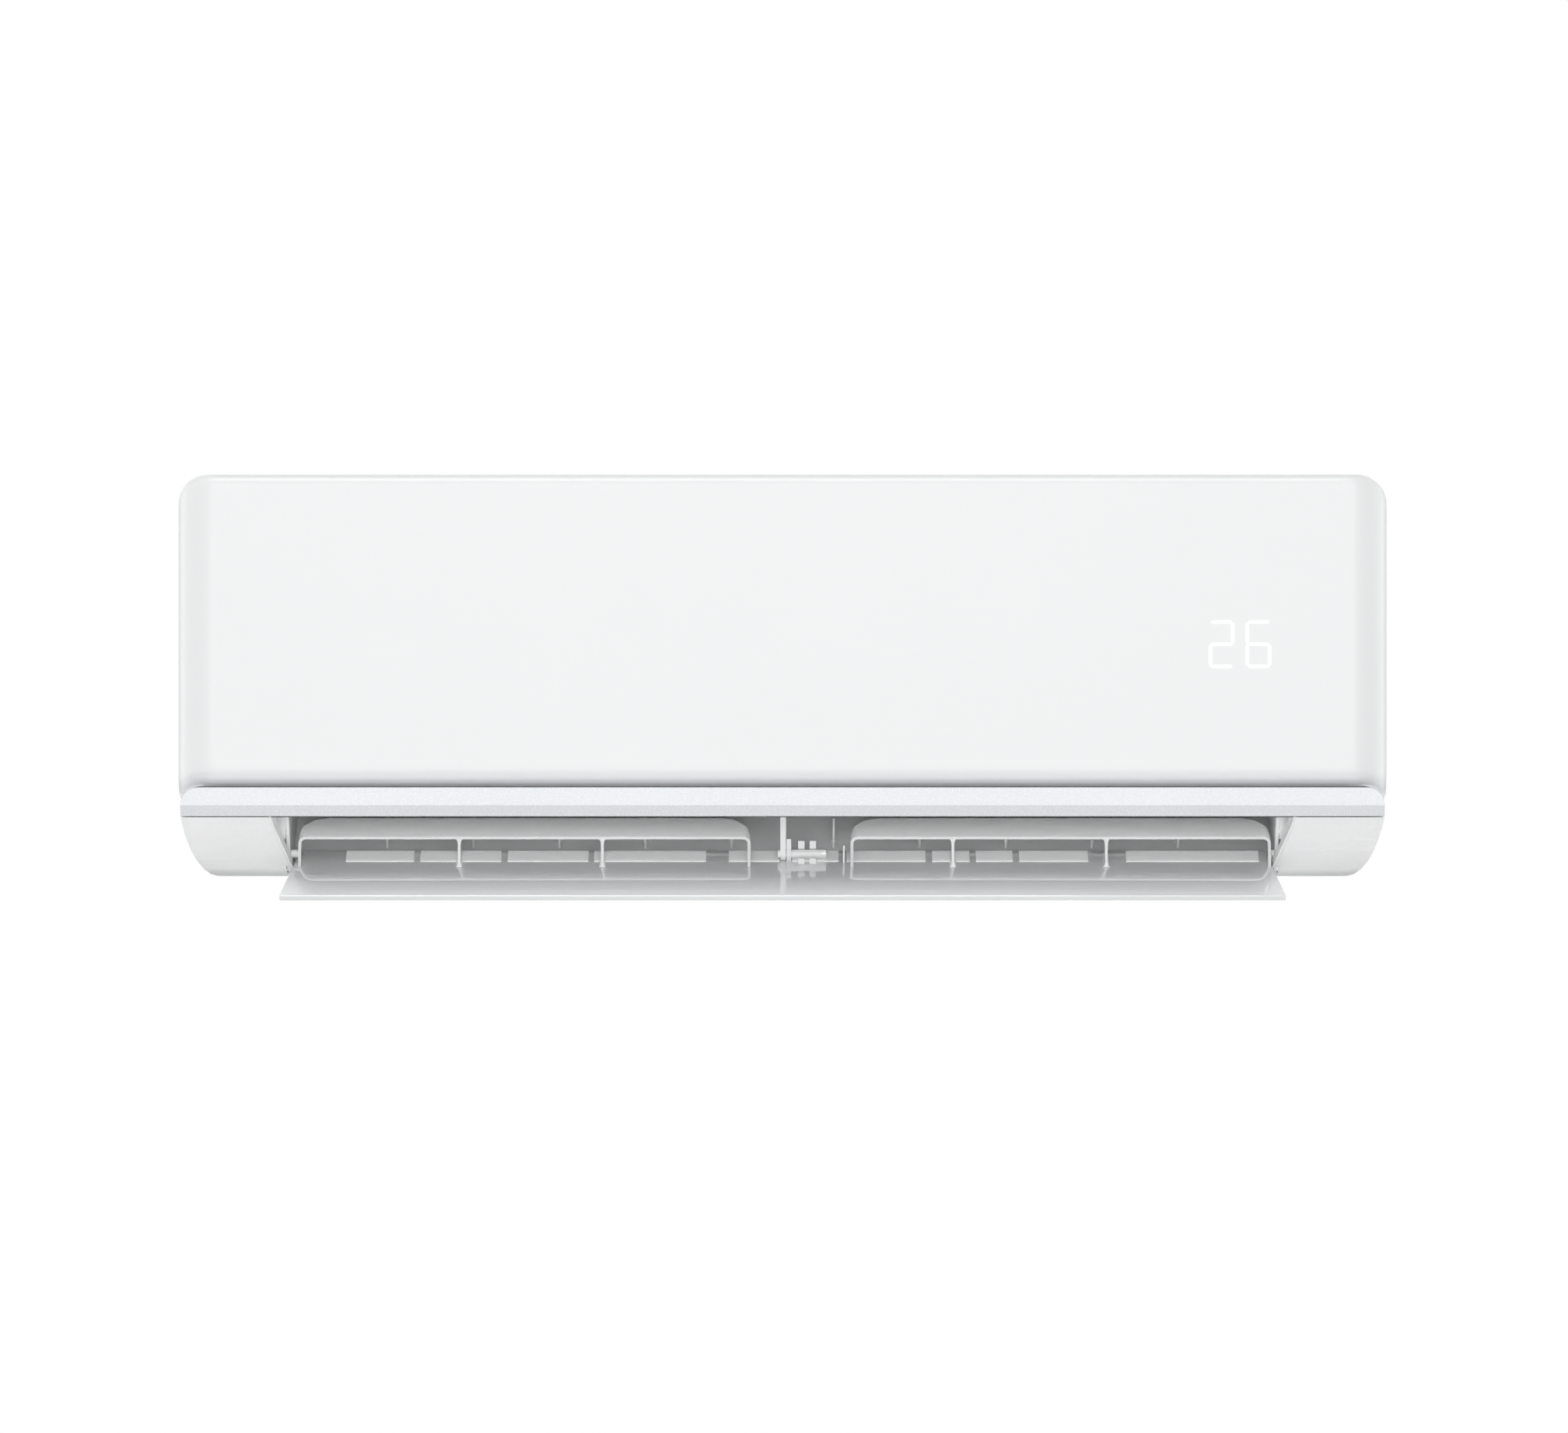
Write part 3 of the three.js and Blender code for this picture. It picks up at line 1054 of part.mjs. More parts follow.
// ---- vertical vanes, standing square to the outlet floor ----
const FLOOR_REAR = fanPolar(FAN_RADIUS + SCROLL_GAP + 22, -80);
const VANE_FOOT = [(FLOOR_REAR[0] + FLOOR_KNEE[0]) / 2, (FLOOR_REAR[1] + FLOOR_KNEE[1]) / 2];
const VANE_TILT = Math.atan2(FLOOR_REAR[1] - FLOOR_KNEE[1], FLOOR_REAR[0] - FLOOR_KNEE[0]);
const VANE_STEP = 20;
const CRANK_ARM = 10;
const LINK_RISE = 0.6;
const LINK_THICK = 2.5;

function vanePlaces() {
  const places = [];
  for (const [side, sign] of [['left', -1], ['right', 1]]) {
    for (let i = 0; i < VANES_PER_GROUP; i += 1) {
      places.push({ name: `vane_${side}_${i + 1}`, side, x: sign * (VANE_FIRST + i * VANE_PITCH) });
    }
  }
  return places;
}

function floorHole(x, radius) {
  const geometry = new THREE.CylinderGeometry(radius, radius, 12, 12);
  geometry.rotateX(Math.PI / 2);
  geometry.rotateX(VANE_TILT);
  geometry.translate(x, ...VANE_FOOT);
  return solid(geometry);
}

function tiltedGroup(x) {
  const group = new THREE.Group();
  group.position.set(x, ...VANE_FOOT);
  group.rotation.x = VANE_TILT;
  unit.add(group);
  return group;
}

const VANE_BLADE = [[-12, 1.5], [-12, 27], [2, 27], [5, VANE_STEP], [14, VANE_STEP], [14, 1.5]];
const VANE_HALF_THICK = 0.8;
const LINK_HALF = 2.6;
const LINK_GRIP = 6;
const LINK_OVERHANG = 5;

function addVerticalVanes() {
  const low = VANE_STEP + LINK_RISE;
  const high = low + LINK_THICK;
  for (const { name, x } of vanePlaces()) {
    const vane = join(
      prismX(VANE_BLADE, -VANE_HALF_THICK, VANE_HALF_THICK), rodZ(VANE_PIN, -2.2, 2, 0, 0),
      rodZ(LINK_PIN, VANE_STEP - 1, high + 0.8, 0, CRANK_ARM, 8));
    add(name, vane, finish(0xdfe1e2, 0.4), tiltedGroup(x));
  }
  const first = VANE_FIRST - LINK_OVERHANG;
  const last = VANE_FIRST + (VANES_PER_GROUP - 1) * VANE_PITCH + LINK_OVERHANG;
  const front = CRANK_ARM - LINK_HALF;
  for (const [side, sign] of [['left', -1], ['right', 1]]) {
    const grip = sided(sign, first + VANE_PITCH * 1.4, first + VANE_PITCH * 1.6);
    let link = join(
      box(...sided(sign, first, last), front, CRANK_ARM + LINK_HALF, low, high),
      box(...grip, front, front + 2, low, low + LINK_GRIP));
    for (const vane of vanePlaces().filter((place) => place.side === side)) {
      link = cut(link, rodZ(LINK_PIN + PIN_CLEARANCE, low - 1, high + 1, vane.x, CRANK_ARM, 8));
    }
    add(`vane_link_${side}`, link, finish(0xdfe1e2, 0.4), tiltedGroup(0));
  }
}

// ---- refrigerant pipes ----
const LIQUID = { radius: 3.2, y: -26, z: BOTTOM + 35, out: 7 };
const SUCTION = { radius: 4.8, y: -28, z: BOTTOM + 20, out: 13, under: PIVOT.z + 19.5 };
const PIPE_END = -200;
const PIPE_BEND = 10;
const NUT = { from: 4, length: 16, wall: 3.6, gap: 0.8 };

function addPipes() {
  const start = TAIL_END + SEAT;
  const down = start + LIQUID.out;
  const liquid = tube([
    [start, ...COIL.inlet], [down, ...COIL.inlet], [down, LIQUID.y, COIL.inlet[1]],
    [down, LIQUID.y, LIQUID.z], [PIPE_END, LIQUID.y, LIQUID.z],
  ], LIQUID.radius, PIPE_BEND);
  add('liquid_pipe', liquid, finish(COPPER, 0.35, 0.9));
  const drop = start + SUCTION.out;
  const suction = tube([
    [start, ...COIL.outlet], [drop, ...COIL.outlet], [drop, COIL.outlet[0], SUCTION.under],
    [drop, SUCTION.y, SUCTION.under], [drop, SUCTION.y, SUCTION.z], [PIPE_END, SUCTION.y, SUCTION.z],
  ], SUCTION.radius, PIPE_BEND);
  add('suction_pipe', suction, finish(COPPER, 0.35, 0.9));
  const x0 = PIPE_END + NUT.from;
  const x1 = x0 + NUT.length;
  for (const [name, { radius, y, z }] of [['liquid', LIQUID], ['suction', SUCTION]]) {
    const nut = cut(rodX(radius + NUT.wall, x0, x1, y, z, 6),
      rodX(radius + NUT.gap, x0 - 1, x1 + 1, y, z, 12));
    add(`flare_nut_${name}`, nut, finish(0xb08d3a, 0.35, 0.85));
  }
}

addMountingPlate();
addBaseChassis();
addPipeClamp();
addFrontFrame();
addFrontPanel();
addDecoStrip();
addSideTabs();
addFilters();
addEvaporator();
addDrainPan();
addFan();
addFanBearing();
addFanMotor();
addControls();
addDisplay();
addButton();
addSensors();
addLouver();
addCentreStay();
addLouverMotor();
addVerticalVanes();
addPipes();

export default unit;
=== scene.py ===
import json
import math

import bmesh
import bpy
from mathutils import Matrix, Vector


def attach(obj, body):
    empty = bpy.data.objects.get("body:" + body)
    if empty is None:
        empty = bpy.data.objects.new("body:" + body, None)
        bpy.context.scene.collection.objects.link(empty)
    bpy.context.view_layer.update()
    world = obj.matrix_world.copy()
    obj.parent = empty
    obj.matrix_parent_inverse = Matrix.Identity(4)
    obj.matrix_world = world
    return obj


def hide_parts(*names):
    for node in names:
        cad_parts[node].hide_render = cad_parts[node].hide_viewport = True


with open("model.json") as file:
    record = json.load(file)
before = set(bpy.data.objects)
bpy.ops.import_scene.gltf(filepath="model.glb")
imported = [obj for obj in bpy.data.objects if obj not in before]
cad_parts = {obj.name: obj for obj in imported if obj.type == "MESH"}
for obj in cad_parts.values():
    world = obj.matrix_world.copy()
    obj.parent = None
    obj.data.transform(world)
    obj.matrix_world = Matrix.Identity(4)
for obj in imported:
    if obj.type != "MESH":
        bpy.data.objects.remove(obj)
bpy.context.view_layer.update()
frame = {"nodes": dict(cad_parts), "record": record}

MM = 0.001
scene = bpy.context.scene

# Sizes of the unit in millimetres, as the frame has them.
WIDTH, HEIGHT, DEPTH = 885.0, 295.4, 210.0
HALF, TOP, BOTTOM, FRONT = WIDTH / 2, HEIGHT / 2, -HEIGHT / 2, -DEPTH
PANEL_FACE = FRONT + 3.5
PANEL_LOW = BOTTOM + 67.1
PANEL_BACK = FRONT + 20.5
PANEL_LIP = FRONT + 15.5
STRIP_TOP, STRIP_CREASE, STRIP_LOW = BOTTOM + 66.1, BOTTOM + 53.1, BOTTOM + 44.9
FRAME_FRONT = FRONT + 27
OUTLET_TOP_HALF = HALF - 68
OUTLET_LOW_HALF = OUTLET_TOP_HALF - 14
OPEN_ANGLE = 60
PIVOT = (FRONT + 61.3, BOTTOM + 16.7)
HINGE = (FRONT + 11.5, TOP - 8.7)
STRIP_CORNER = 18.0
SIDES = (("left", -1), ("right", 1))
PIXELS_PER_MM = 1.758


# ---- finishes -------------------------------------------------------------

class Wire:
    """A shader socket that sums like a number."""

    def __init__(self, finish, socket):
        self.finish = finish
        self.socket = socket

    def reckon(self, kind, first, second):
        return self.finish.node("ShaderNodeMath", {"operation": kind}, {0: first, 1: second})

    def __add__(self, other):
        return self.reckon("ADD", self, other)

    def __sub__(self, other):
        return self.reckon("SUBTRACT", self, other)

    def __rsub__(self, other):
        return self.reckon("SUBTRACT", other, self)

    def __mul__(self, other):
        return self.reckon("MULTIPLY", self, other)

    def above(self, level):
        return self.reckon("GREATER_THAN", self, level)


MIX_SHARE, MIX_FIRST, MIX_SECOND, MIX_RESULT = 0, 6, 7, 2


class Finish:
    """One material and the nodes that draw it, on object coordinates in metres."""

    def __init__(self, name, rough=0.5, metal=0.0, **constants):
        self.material = bpy.data.materials.new(name)
        self.material.use_nodes = True
        self.tree = self.material.node_tree
        self.tree.nodes.clear()
        self.shader = self.tree.nodes.new("ShaderNodeBsdfPrincipled")
        self.output = self.tree.nodes.new("ShaderNodeOutputMaterial")
        self.tree.links.new(self.shader.outputs["BSDF"], self.output.inputs["Surface"])
        self.shader.inputs["Roughness"].default_value = rough
        self.shader.inputs["Metallic"].default_value = metal
        for socket, value in constants.items():
            self.shader.inputs[socket.replace("_", " ")].default_value = value
        self.where = self.node("ShaderNodeTexCoord", out="Object")

    def node(self, kind, settings=None, sockets=None, out=0):
        made = self.tree.nodes.new(kind)
        for key, value in (settings or {}).items():
            if key == "stops":
                self.paint_ramp(made.color_ramp, value)
            else:
                setattr(made, key, value)
        for key, value in (sockets or {}).items():
            if isinstance(value, Wire):
                self.tree.links.new(value.socket, made.inputs[key])
            else:
                made.inputs[key].default_value = value
        return Wire(self, made.outputs[out])

    def paint_ramp(self, ramp, stops):
        while len(ramp.elements) < len(stops):
            ramp.elements.new(0.5)
        for element, (place, colour) in zip(ramp.elements, stops):
            element.position = place
            element.color = (*colour, 1)

    def speckle(self, size, detail=3.0, stretch=(1, 1, 1)):
        """Noise from 0 to 1 whose features are about this many millimetres."""
        place = self.node(
            "ShaderNodeMapping", None, {"Vector": self.where, "Scale": stretch}, "Vector")
        return self.node(
            "ShaderNodeTexNoise", None,
            {"Vector": place, "Scale": 1 / (size * MM), "Detail": detail, "Roughness": 0.5}, "Fac")

    def along(self, axis):
        """The distance along an axis, in metres."""
        return self.node("ShaderNodeSeparateXYZ", None, {0: self.where}, axis)

    def ridges(self, distance, pitch):
        """A wave from 0 to 1 with this pitch in millimetres."""
        turn = distance * (2 * math.pi / (pitch * MM))
        return self.node("ShaderNodeMath", {"operation": "SINE"}, {0: turn}) * 0.5 + 0.5

    def blend(self, share, first, second):
        """Two colours mixed by a share. Each is a tuple or the output of another blend."""
        first, second = (
            (*part, 1) if isinstance(part, tuple) else part for part in (first, second))
        return self.node(
            "ShaderNodeMix", {"data_type": "RGBA"},
            {MIX_SHARE: share, MIX_FIRST: first, MIX_SECOND: second}, MIX_RESULT)

    def feed(self, socket, value):
        self.tree.links.new(value.socket, self.shader.inputs[socket])

    def relief(self, height, depth, strength=1.0):
        """Bump from a height of 0 to 1 that stands for this many millimetres."""
        bump = self.node(
            "ShaderNodeBump", None,
            {"Height": height, "Distance": depth * MM, "Strength": strength}, "Normal")
        self.feed("Normal", bump)


def tint(colour, share):
    return tuple(max(0.0, min(1.0, part * share)) for part in colour)


def moulded(name, colour, rough, grain=0.012, drift=0.02, **constants):
    """Injection-moulded plastic: a slow drift in its shade, faint flow marks and a fine skin."""
    finish = Finish(name, rough, 0.0, **constants)
    cloud = finish.speckle(140, 2.0)
    flow = finish.speckle(30, 3.0, (0.25, 1, 1))
    shade = cloud * 0.7 + flow * 0.3
    finish.feed("Base Color", finish.blend(shade, tint(colour, 1 - drift), tint(colour, 1 + drift)))
    skin = finish.speckle(0.7, 2.0)
    finish.feed("Roughness", skin * 0.08 + (rough - 0.04) + (flow - 0.5) * 0.05)
    finish.relief(skin, grain)
    return finish.material


def rolled_zinc(name, colour, rough):
    """Galvanised sheet: grey spangles, rolling lines and small scuffs."""
    finish = Finish(name, rough, 1.0)
    spangle = finish.node(
        "ShaderNodeTexVoronoi", {"feature": "F1"},
        {"Vector": finish.where, "Scale": 140.0}, "Color")
    grey = finish.node("ShaderNodeSeparateColor", None, {0: spangle}, 0)
    lines = finish.speckle(0.5, 2.0, (0.02, 1, 1))
    finish.feed("Base Color", finish.blend(
        grey * 0.6 + lines * 0.4, tint(colour, 0.8), tint(colour, 1.08)))
    finish.feed("Roughness", grey * 0.18 + lines * 0.12 + (rough - 0.12))
    finish.relief(lines, 0.01)
    return finish.material


def drawn_metal(name, colour, rough, tarnish, patch=14):
    """Drawn tube or turned bar: fine lines and darker tarnish in patches."""
    finish = Finish(name, rough, 1.0)
    spots = finish.speckle(patch, 4.0)
    lines = finish.speckle(0.35, 2.0, (0.05, 1, 1))
    worn = finish.node(
        "ShaderNodeValToRGB", {"stops": [(0.42, (0, 0, 0)), (0.72, (1, 1, 1))]},
        {0: spots}, "Color")
    share = finish.node("ShaderNodeSeparateColor", None, {0: worn}, 0)
    finish.feed("Base Color", finish.blend(share * 0.8 + lines * 0.2, colour, tarnish))
    finish.feed("Roughness", share * 0.22 + lines * 0.08 + (rough - 0.04))
    finish.relief(lines, 0.006)
    return finish.material


FIN_PITCH, NET_PITCH = 1.4, 1.6


def fin_stack(name):
    """A stack of thin aluminium fins with a few bent ones. The dark bands between the fins are
    painted shade of the gaps.
    """
    finish = Finish(name, 0.42, 0.9)
    bend = finish.speckle(20, 2.0)
    comb = finish.ridges(finish.along("X") + bend * (0.4 * MM), FIN_PITCH)
    # painted shade: the dark end of this blend stands for the shadowed gaps between the fins
    finish.feed("Base Color", finish.blend(comb, (0.16, 0.17, 0.18), (0.78, 0.8, 0.82)))
    finish.feed("Roughness", bend * 0.15 + 0.34)
    finish.relief(comb, 0.5, 0.8)
    return finish.material


def filter_mesh(name):
    """Woven dust net: square holes between round threads, with the holes painted near black as shade,
    and a little dust.
    """
    finish = Finish(name, 0.7)
    across = finish.ridges(finish.along("X"), NET_PITCH)
    up = finish.ridges(finish.along("Z"), NET_PITCH)
    thread = finish.node("ShaderNodeMath", {"operation": "MAXIMUM"}, {0: across, 1: up})
    dust = finish.speckle(60, 4.0)
    share = thread * 0.85 + dust * 0.15
    # painted shade: the near-black end of this blend fills the holes, where only shade shows through
    finish.feed("Base Color", finish.blend(share, (0.035, 0.04, 0.045), (0.36, 0.39, 0.42)))
    finish.relief(thread, 0.4, 0.7)
    return finish.material


def circuit_board(name):
    """Green lacquer over copper tracks, with pale solder spots."""
    finish = Finish(name, 0.35)
    tracks = finish.node(
        "ShaderNodeTexBrick", {"offset": 0.37, "squash": 1.6},
        {"Vector": finish.where, "Scale": 90.0, "Mortar Size": 0.03}, "Fac")
    spots = finish.node(
        "ShaderNodeTexVoronoi", {"feature": "F1"},
        {"Vector": finish.where, "Scale": 220.0}, "Distance")
    solder = 1 - spots.above(0.16)
    lacquer = finish.blend(tracks, (0.02, 0.13, 0.05), (0.05, 0.24, 0.1))
    finish.feed("Base Color", finish.blend(solder, lacquer, (0.62, 0.62, 0.6)))
    finish.feed("Metallic", solder * 0.8)
    finish.relief(tracks + solder, 0.1, 0.6)
    return finish.material


def silver_lacquer(name):
    """The strip's cool metallic lacquer over plastic."""
    finish = Finish(name, 0.26, 0.4, Coat_Weight=0.4, Coat_Roughness=0.08)
    flake = finish.speckle(0.35, 1.0)
    cloud = finish.speckle(120, 2.0)
    finish.feed("Base Color", finish.blend(
        flake * 0.5 + cloud * 0.5, (0.79, 0.81, 0.835), (0.87, 0.885, 0.905)))
    finish.feed("Roughness", flake * 0.1 + 0.21)
    finish.relief(flake, 0.004)
    return finish.material


def soft_rubber(name, colour):
    """Matt rubber with dust in its skin."""
    finish = Finish(name, 0.85)
    dust = finish.speckle(8, 4.0)
    skin = finish.speckle(0.8, 3.0)
    finish.feed("Base Color", finish.blend(dust, tint(colour, 0.75), tint(colour, 1.5)))
    finish.feed("Roughness", dust * 0.12 + 0.78)
    finish.relief(skin, 0.04)
    return finish.material


def lit_digit(name):
    """Light that comes through the panel's skin, a little uneven."""
    finish = Finish(name, 0.3)
    glow = finish.speckle(9, 1.0)
    finish.feed("Base Color", finish.blend(glow, (0.93, 0.95, 0.96), (1, 1, 1)))
    finish.feed("Emission Color", finish.blend(glow, (0.9, 0.95, 1.0), (1, 1, 1)))
    finish.shader.inputs["Emission Strength"].default_value = 0.5
    return finish.material


WHITE, PALE = (0.9, 0.905, 0.905), (0.92, 0.925, 0.925)
finishes = {
    "panel_plastic": moulded("panel_plastic", (0.875, 0.88, 0.88), 0.3, 0.003, 0.012,
                             Coat_Weight=0.25, Coat_Roughness=0.1),
    "white_plastic": moulded("white_plastic", WHITE, 0.42, 0.008, 0.015),
    "silver_trim": silver_lacquer("silver_trim"),
    "inner_plastic": moulded("inner_plastic", PALE, 0.55, 0.02, 0.03),
    "louver_gloss": moulded("louver_gloss", (0.84, 0.845, 0.85), 0.06, 0.0, 0.01,
                            Coat_Weight=1.0, Coat_IOR=2.1, Coat_Roughness=0.03),
    "louver_white": moulded("louver_white", PALE, 0.3, 0.004, 0.012),
    "filter_plastic": moulded("filter_plastic", (0.62, 0.66, 0.69), 0.5, 0.015, 0.03),
    "filter_net": filter_mesh("filter_net"),
    "fin_aluminium": fin_stack("fin_aluminium"),
    "zinc": rolled_zinc("zinc", (0.66, 0.68, 0.7), 0.38),
    "shaft_steel": drawn_metal("shaft_steel", (0.62, 0.63, 0.64), 0.3, (0.4, 0.38, 0.36), 20),
    "copper": drawn_metal("copper", (0.85, 0.42, 0.24), 0.3, (0.42, 0.19, 0.12), 16),
    "brass": drawn_metal("brass", (0.78, 0.58, 0.25), 0.28, (0.5, 0.36, 0.16), 9),
    "bronze": drawn_metal("bronze", (0.55, 0.36, 0.2), 0.38, (0.32, 0.21, 0.12), 7),
    "black_rubber": soft_rubber("black_rubber", (0.035, 0.037, 0.04)),
    "fan_plastic": moulded("fan_plastic", (0.055, 0.06, 0.065), 0.5, 0.02, 0.12),
    "motor_resin": moulded("motor_resin", (0.66, 0.67, 0.66), 0.55, 0.05, 0.04),
    "board": circuit_board("board"),
    "black_plastic": moulded("black_plastic", (0.04, 0.042, 0.045), 0.5, 0.02, 0.1),
    "digit_light": lit_digit("digit_light"),
}
slot_of = {part["node"]: part["material_slot"] for part in frame["record"]["subparts"]}
for node_name, cad_object in frame["nodes"].items():
    cad_object.data.materials.clear()
    cad_object.data.materials.append(finishes[slot_of[node_name]])


# ---- shapes, drawn in millimetres ----------------------------------------

def slab(bm, axis, outline, low, high):
    """Carries an outline along an axis. The outline is (y, z), (x, z) or (x, y) for X, Y or Z."""
    slot = "XYZ".index(axis)
    step = [0, 0, 0]
    step[slot] = high - low
    face = bm.faces.new([bm.verts.new((*pair[:slot], low, *pair[slot:])) for pair in outline])
    grown = bmesh.ops.extrude_face_region(bm, geom=[face])["geom"]
    tips = [part for part in grown if isinstance(part, bmesh.types.BMVert)]
    bmesh.ops.translate(bm, vec=step, verts=tips)
    return list(face.verts) + tips


def block(bm, x, y, z):
    """A block between the given limits along X, Y and Z."""
    made = bmesh.ops.create_cube(bm, size=1)["verts"]
    bmesh.ops.scale(bm, vec=[high - low for low, high in (x, y, z)], verts=made)
    bmesh.ops.translate(bm, vec=[(low + high) / 2 for low, high in (x, y, z)], verts=made)


def rod(bm, radius, x0, x1, y, z, sides=32):
    """A rod along X."""
    turn = Matrix.Translation(((x0 + x1) / 2, y, z)) @ Matrix.Rotation(math.pi / 2, 4, "Y")
    bmesh.ops.create_cone(
        bm, cap_ends=True, segments=sides, radius1=radius, radius2=radius, depth=x1 - x0,
        matrix=turn)


def round_edges(bm, chosen, offset, segments=4):
    """Rounds the edges for which the test holds."""
    edges = [edge for edge in bm.edges if edge.is_valid and chosen(edge)]
    if edges:
        bmesh.ops.bevel(
            bm, geom=edges, offset=offset, offset_type="OFFSET", segments=segments, profile=0.5,
            affect="EDGES", clamp_overlap=True, material=-1)


def runs_along(edge, axis):
    """Whether an edge is parallel to an axis."""
    way = (edge.verts[1].co - edge.verts[0].co).normalized()
    return abs(way["XYZ".index(axis)]) > 0.999


def near(value, slack=0.1):
    return value - slack, value + slack


def at(edge, **limits):
    """Whether an edge's middle lies in the limits given for x, y and z."""
    middle = (edge.verts[0].co + edge.verts[1].co) / 2
    return all(low <= getattr(middle, key) <= high for key, (low, high) in limits.items())


def finished(name, bm, finish, body, *stands_for, crease=32, soften=0.0):
    """Closes a drawing into a piece in metres that rides on a body."""
    bmesh.ops.scale(bm, vec=(MM, MM, MM), verts=bm.verts)
    bmesh.ops.recalc_face_normals(bm, faces=bm.faces)
    for face in bm.faces:
        face.smooth = True
    limit = math.radians(crease)
    for edge in bm.edges:
        edge.smooth = not edge.is_manifold or edge.calc_face_angle(0) < limit
    mesh = bpy.data.meshes.new(name)
    bm.to_mesh(mesh)
    bm.free()
    piece = bpy.data.objects.new(name, mesh)
    scene.collection.objects.link(piece)
    mesh.materials.append(finishes[finish])
    if soften:
        rim = piece.modifiers.new("rim", "BEVEL")
        rim.width = soften * MM
        rim.segments = 2
        rim.limit_method = "ANGLE"
        rim.angle_limit = limit
        rim.use_clamp_overlap = True
        rim.harden_normals = True
    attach(piece, body)
    if stands_for:
        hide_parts(*stands_for)
    return piece


WELD, SLIVER, FLAT_ANGLE = 0.002, 0.02, math.radians(0.8)


def softened(node, body, soften):
    """A CAD node again, shaded smoothly, with its edges rounded where a radius is given."""
    bm = bmesh.new()
    bm.from_mesh(frame["nodes"][node].data)
    bmesh.ops.scale(bm, vec=(1 / MM,) * 3, verts=bm.verts)
    bmesh.ops.remove_doubles(bm, verts=bm.verts, dist=WELD)
    bmesh.ops.dissolve_degenerate(bm, dist=SLIVER, edges=bm.edges)
    if soften:
        bmesh.ops.dissolve_limit(
            bm, angle_limit=FLAT_ANGLE, verts=bm.verts, edges=bm.edges,
            use_dissolve_boundaries=False)
    piece = finished(node + "_smooth", bm, slot_of[node], body, node, soften=soften)
    if not soften:
        shade = piece.modifiers.new("shade", "WEIGHTED_NORMAL")
        shade.keep_sharp = True
    return piece


# ---- front panel ------------------------------------------------------------

def square_to_arc(x, z, radius):
    """Moves a point of a square corner, measured from its inner corner, into a round one."""
    u, v = x / radius, z / radius
    return x * math.sqrt(max(0.0, 1 - v * v / 2)), z * math.sqrt(max(0.0, 1 - u * u / 2))


def ease(share):
    """A smooth step from 0 to 1."""
    share = max(0.0, min(1.0, share))
    return share * share * (3 - 2 * share)


def roll(distance, wide, deep):
    """How far a rounded edge falls back at a distance from the rim."""
    if distance >= wide:
        return 0.0
    share = 1 - distance / wide
    return deep * (1 - math.sqrt(max(0.0, 1 - share * share)))


PANEL_MIDDLE, PANEL_HALF_TALL = (TOP + PANEL_LOW) / 2, (TOP - PANEL_LOW) / 2
PANEL_WALL = 2.3
TOP_ROLL = 7.5
BOTTOM_CURL_HIGH, BOTTOM_CURL_DEEP = 14, 16.5
SIDE_ROLL = 2.6
SIDE_FALL, SIDE_FALL_OUTER, SIDE_FALL_INNER = 7.5, 3, 25
TOP_CORNER, LOW_CORNER = 22.0, 2.0
STRIP_END_LEAST, CLAW_DROP, CLAW_FADE = 1.2, 8.0, 45
LIP_TALL, LIP_OUTSIDE, LIP_INSIDE = 13, 0.6, 0.2


def panel_bow(z):
    """The y of the panel's flat part, which bows by half a millimetre."""
    return PANEL_FACE + 0.5 * ((z - 30) / 110) ** 2


def panel_point(u, v):
    """A point on the panel's outer face, and the y where the panel ends behind it.

    u and v run from -1 to 1 and crowd towards the rim. The upper corners are round. The lower
    ones reach down as claws round the ends of the strip.
    """
    from_side = HALF * (1 - abs(u)) ** 2
    from_edge = PANEL_HALF_TALL * (1 - abs(v)) ** 2
    x = math.copysign(HALF - from_side, u)
    z = PANEL_MIDDLE + math.copysign(PANEL_HALF_TALL - from_edge, v)
    y = panel_bow(z)
    if v > 0:
        y += roll(from_edge, TOP_ROLL, TOP_ROLL)
    else:
        y += BOTTOM_CURL_DEEP * max(0.0, 1 - from_edge / BOTTOM_CURL_HIGH) ** 3
    fall = ease((SIDE_FALL_INNER - from_side) / (SIDE_FALL_INNER - SIDE_FALL_OUTER))
    y += roll(from_side, SIDE_ROLL, SIDE_ROLL) + SIDE_FALL * fall
    radius = TOP_CORNER if v > 0 else LOW_CORNER
    inner_x, inner_z = HALF - radius, PANEL_HALF_TALL - radius
    if abs(x) > inner_x and abs(z - PANEL_MIDDLE) > inner_z:
        bent = square_to_arc(abs(x) - inner_x, abs(z - PANEL_MIDDLE) - inner_z, radius)
        x = math.copysign(inner_x + bent[0], x)
        z = PANEL_MIDDLE + math.copysign(inner_z + bent[1], z - PANEL_MIDDLE)
    past = STRIP_CORNER - max(STRIP_END_LEAST, HALF - abs(x))
    if v < 0 and past > 0:
        claw = STRIP_CORNER - math.sqrt(STRIP_CORNER ** 2 - past ** 2)
        z -= min(claw, CLAW_DROP) * max(0.0, 1 - from_edge / CLAW_FADE) ** 1.5
    lip = PANEL_LIP if z > HINGE[1] - LIP_TALL else PANEL_BACK
    return Vector((x, min(y, lip - LIP_OUTSIDE), z)), lip


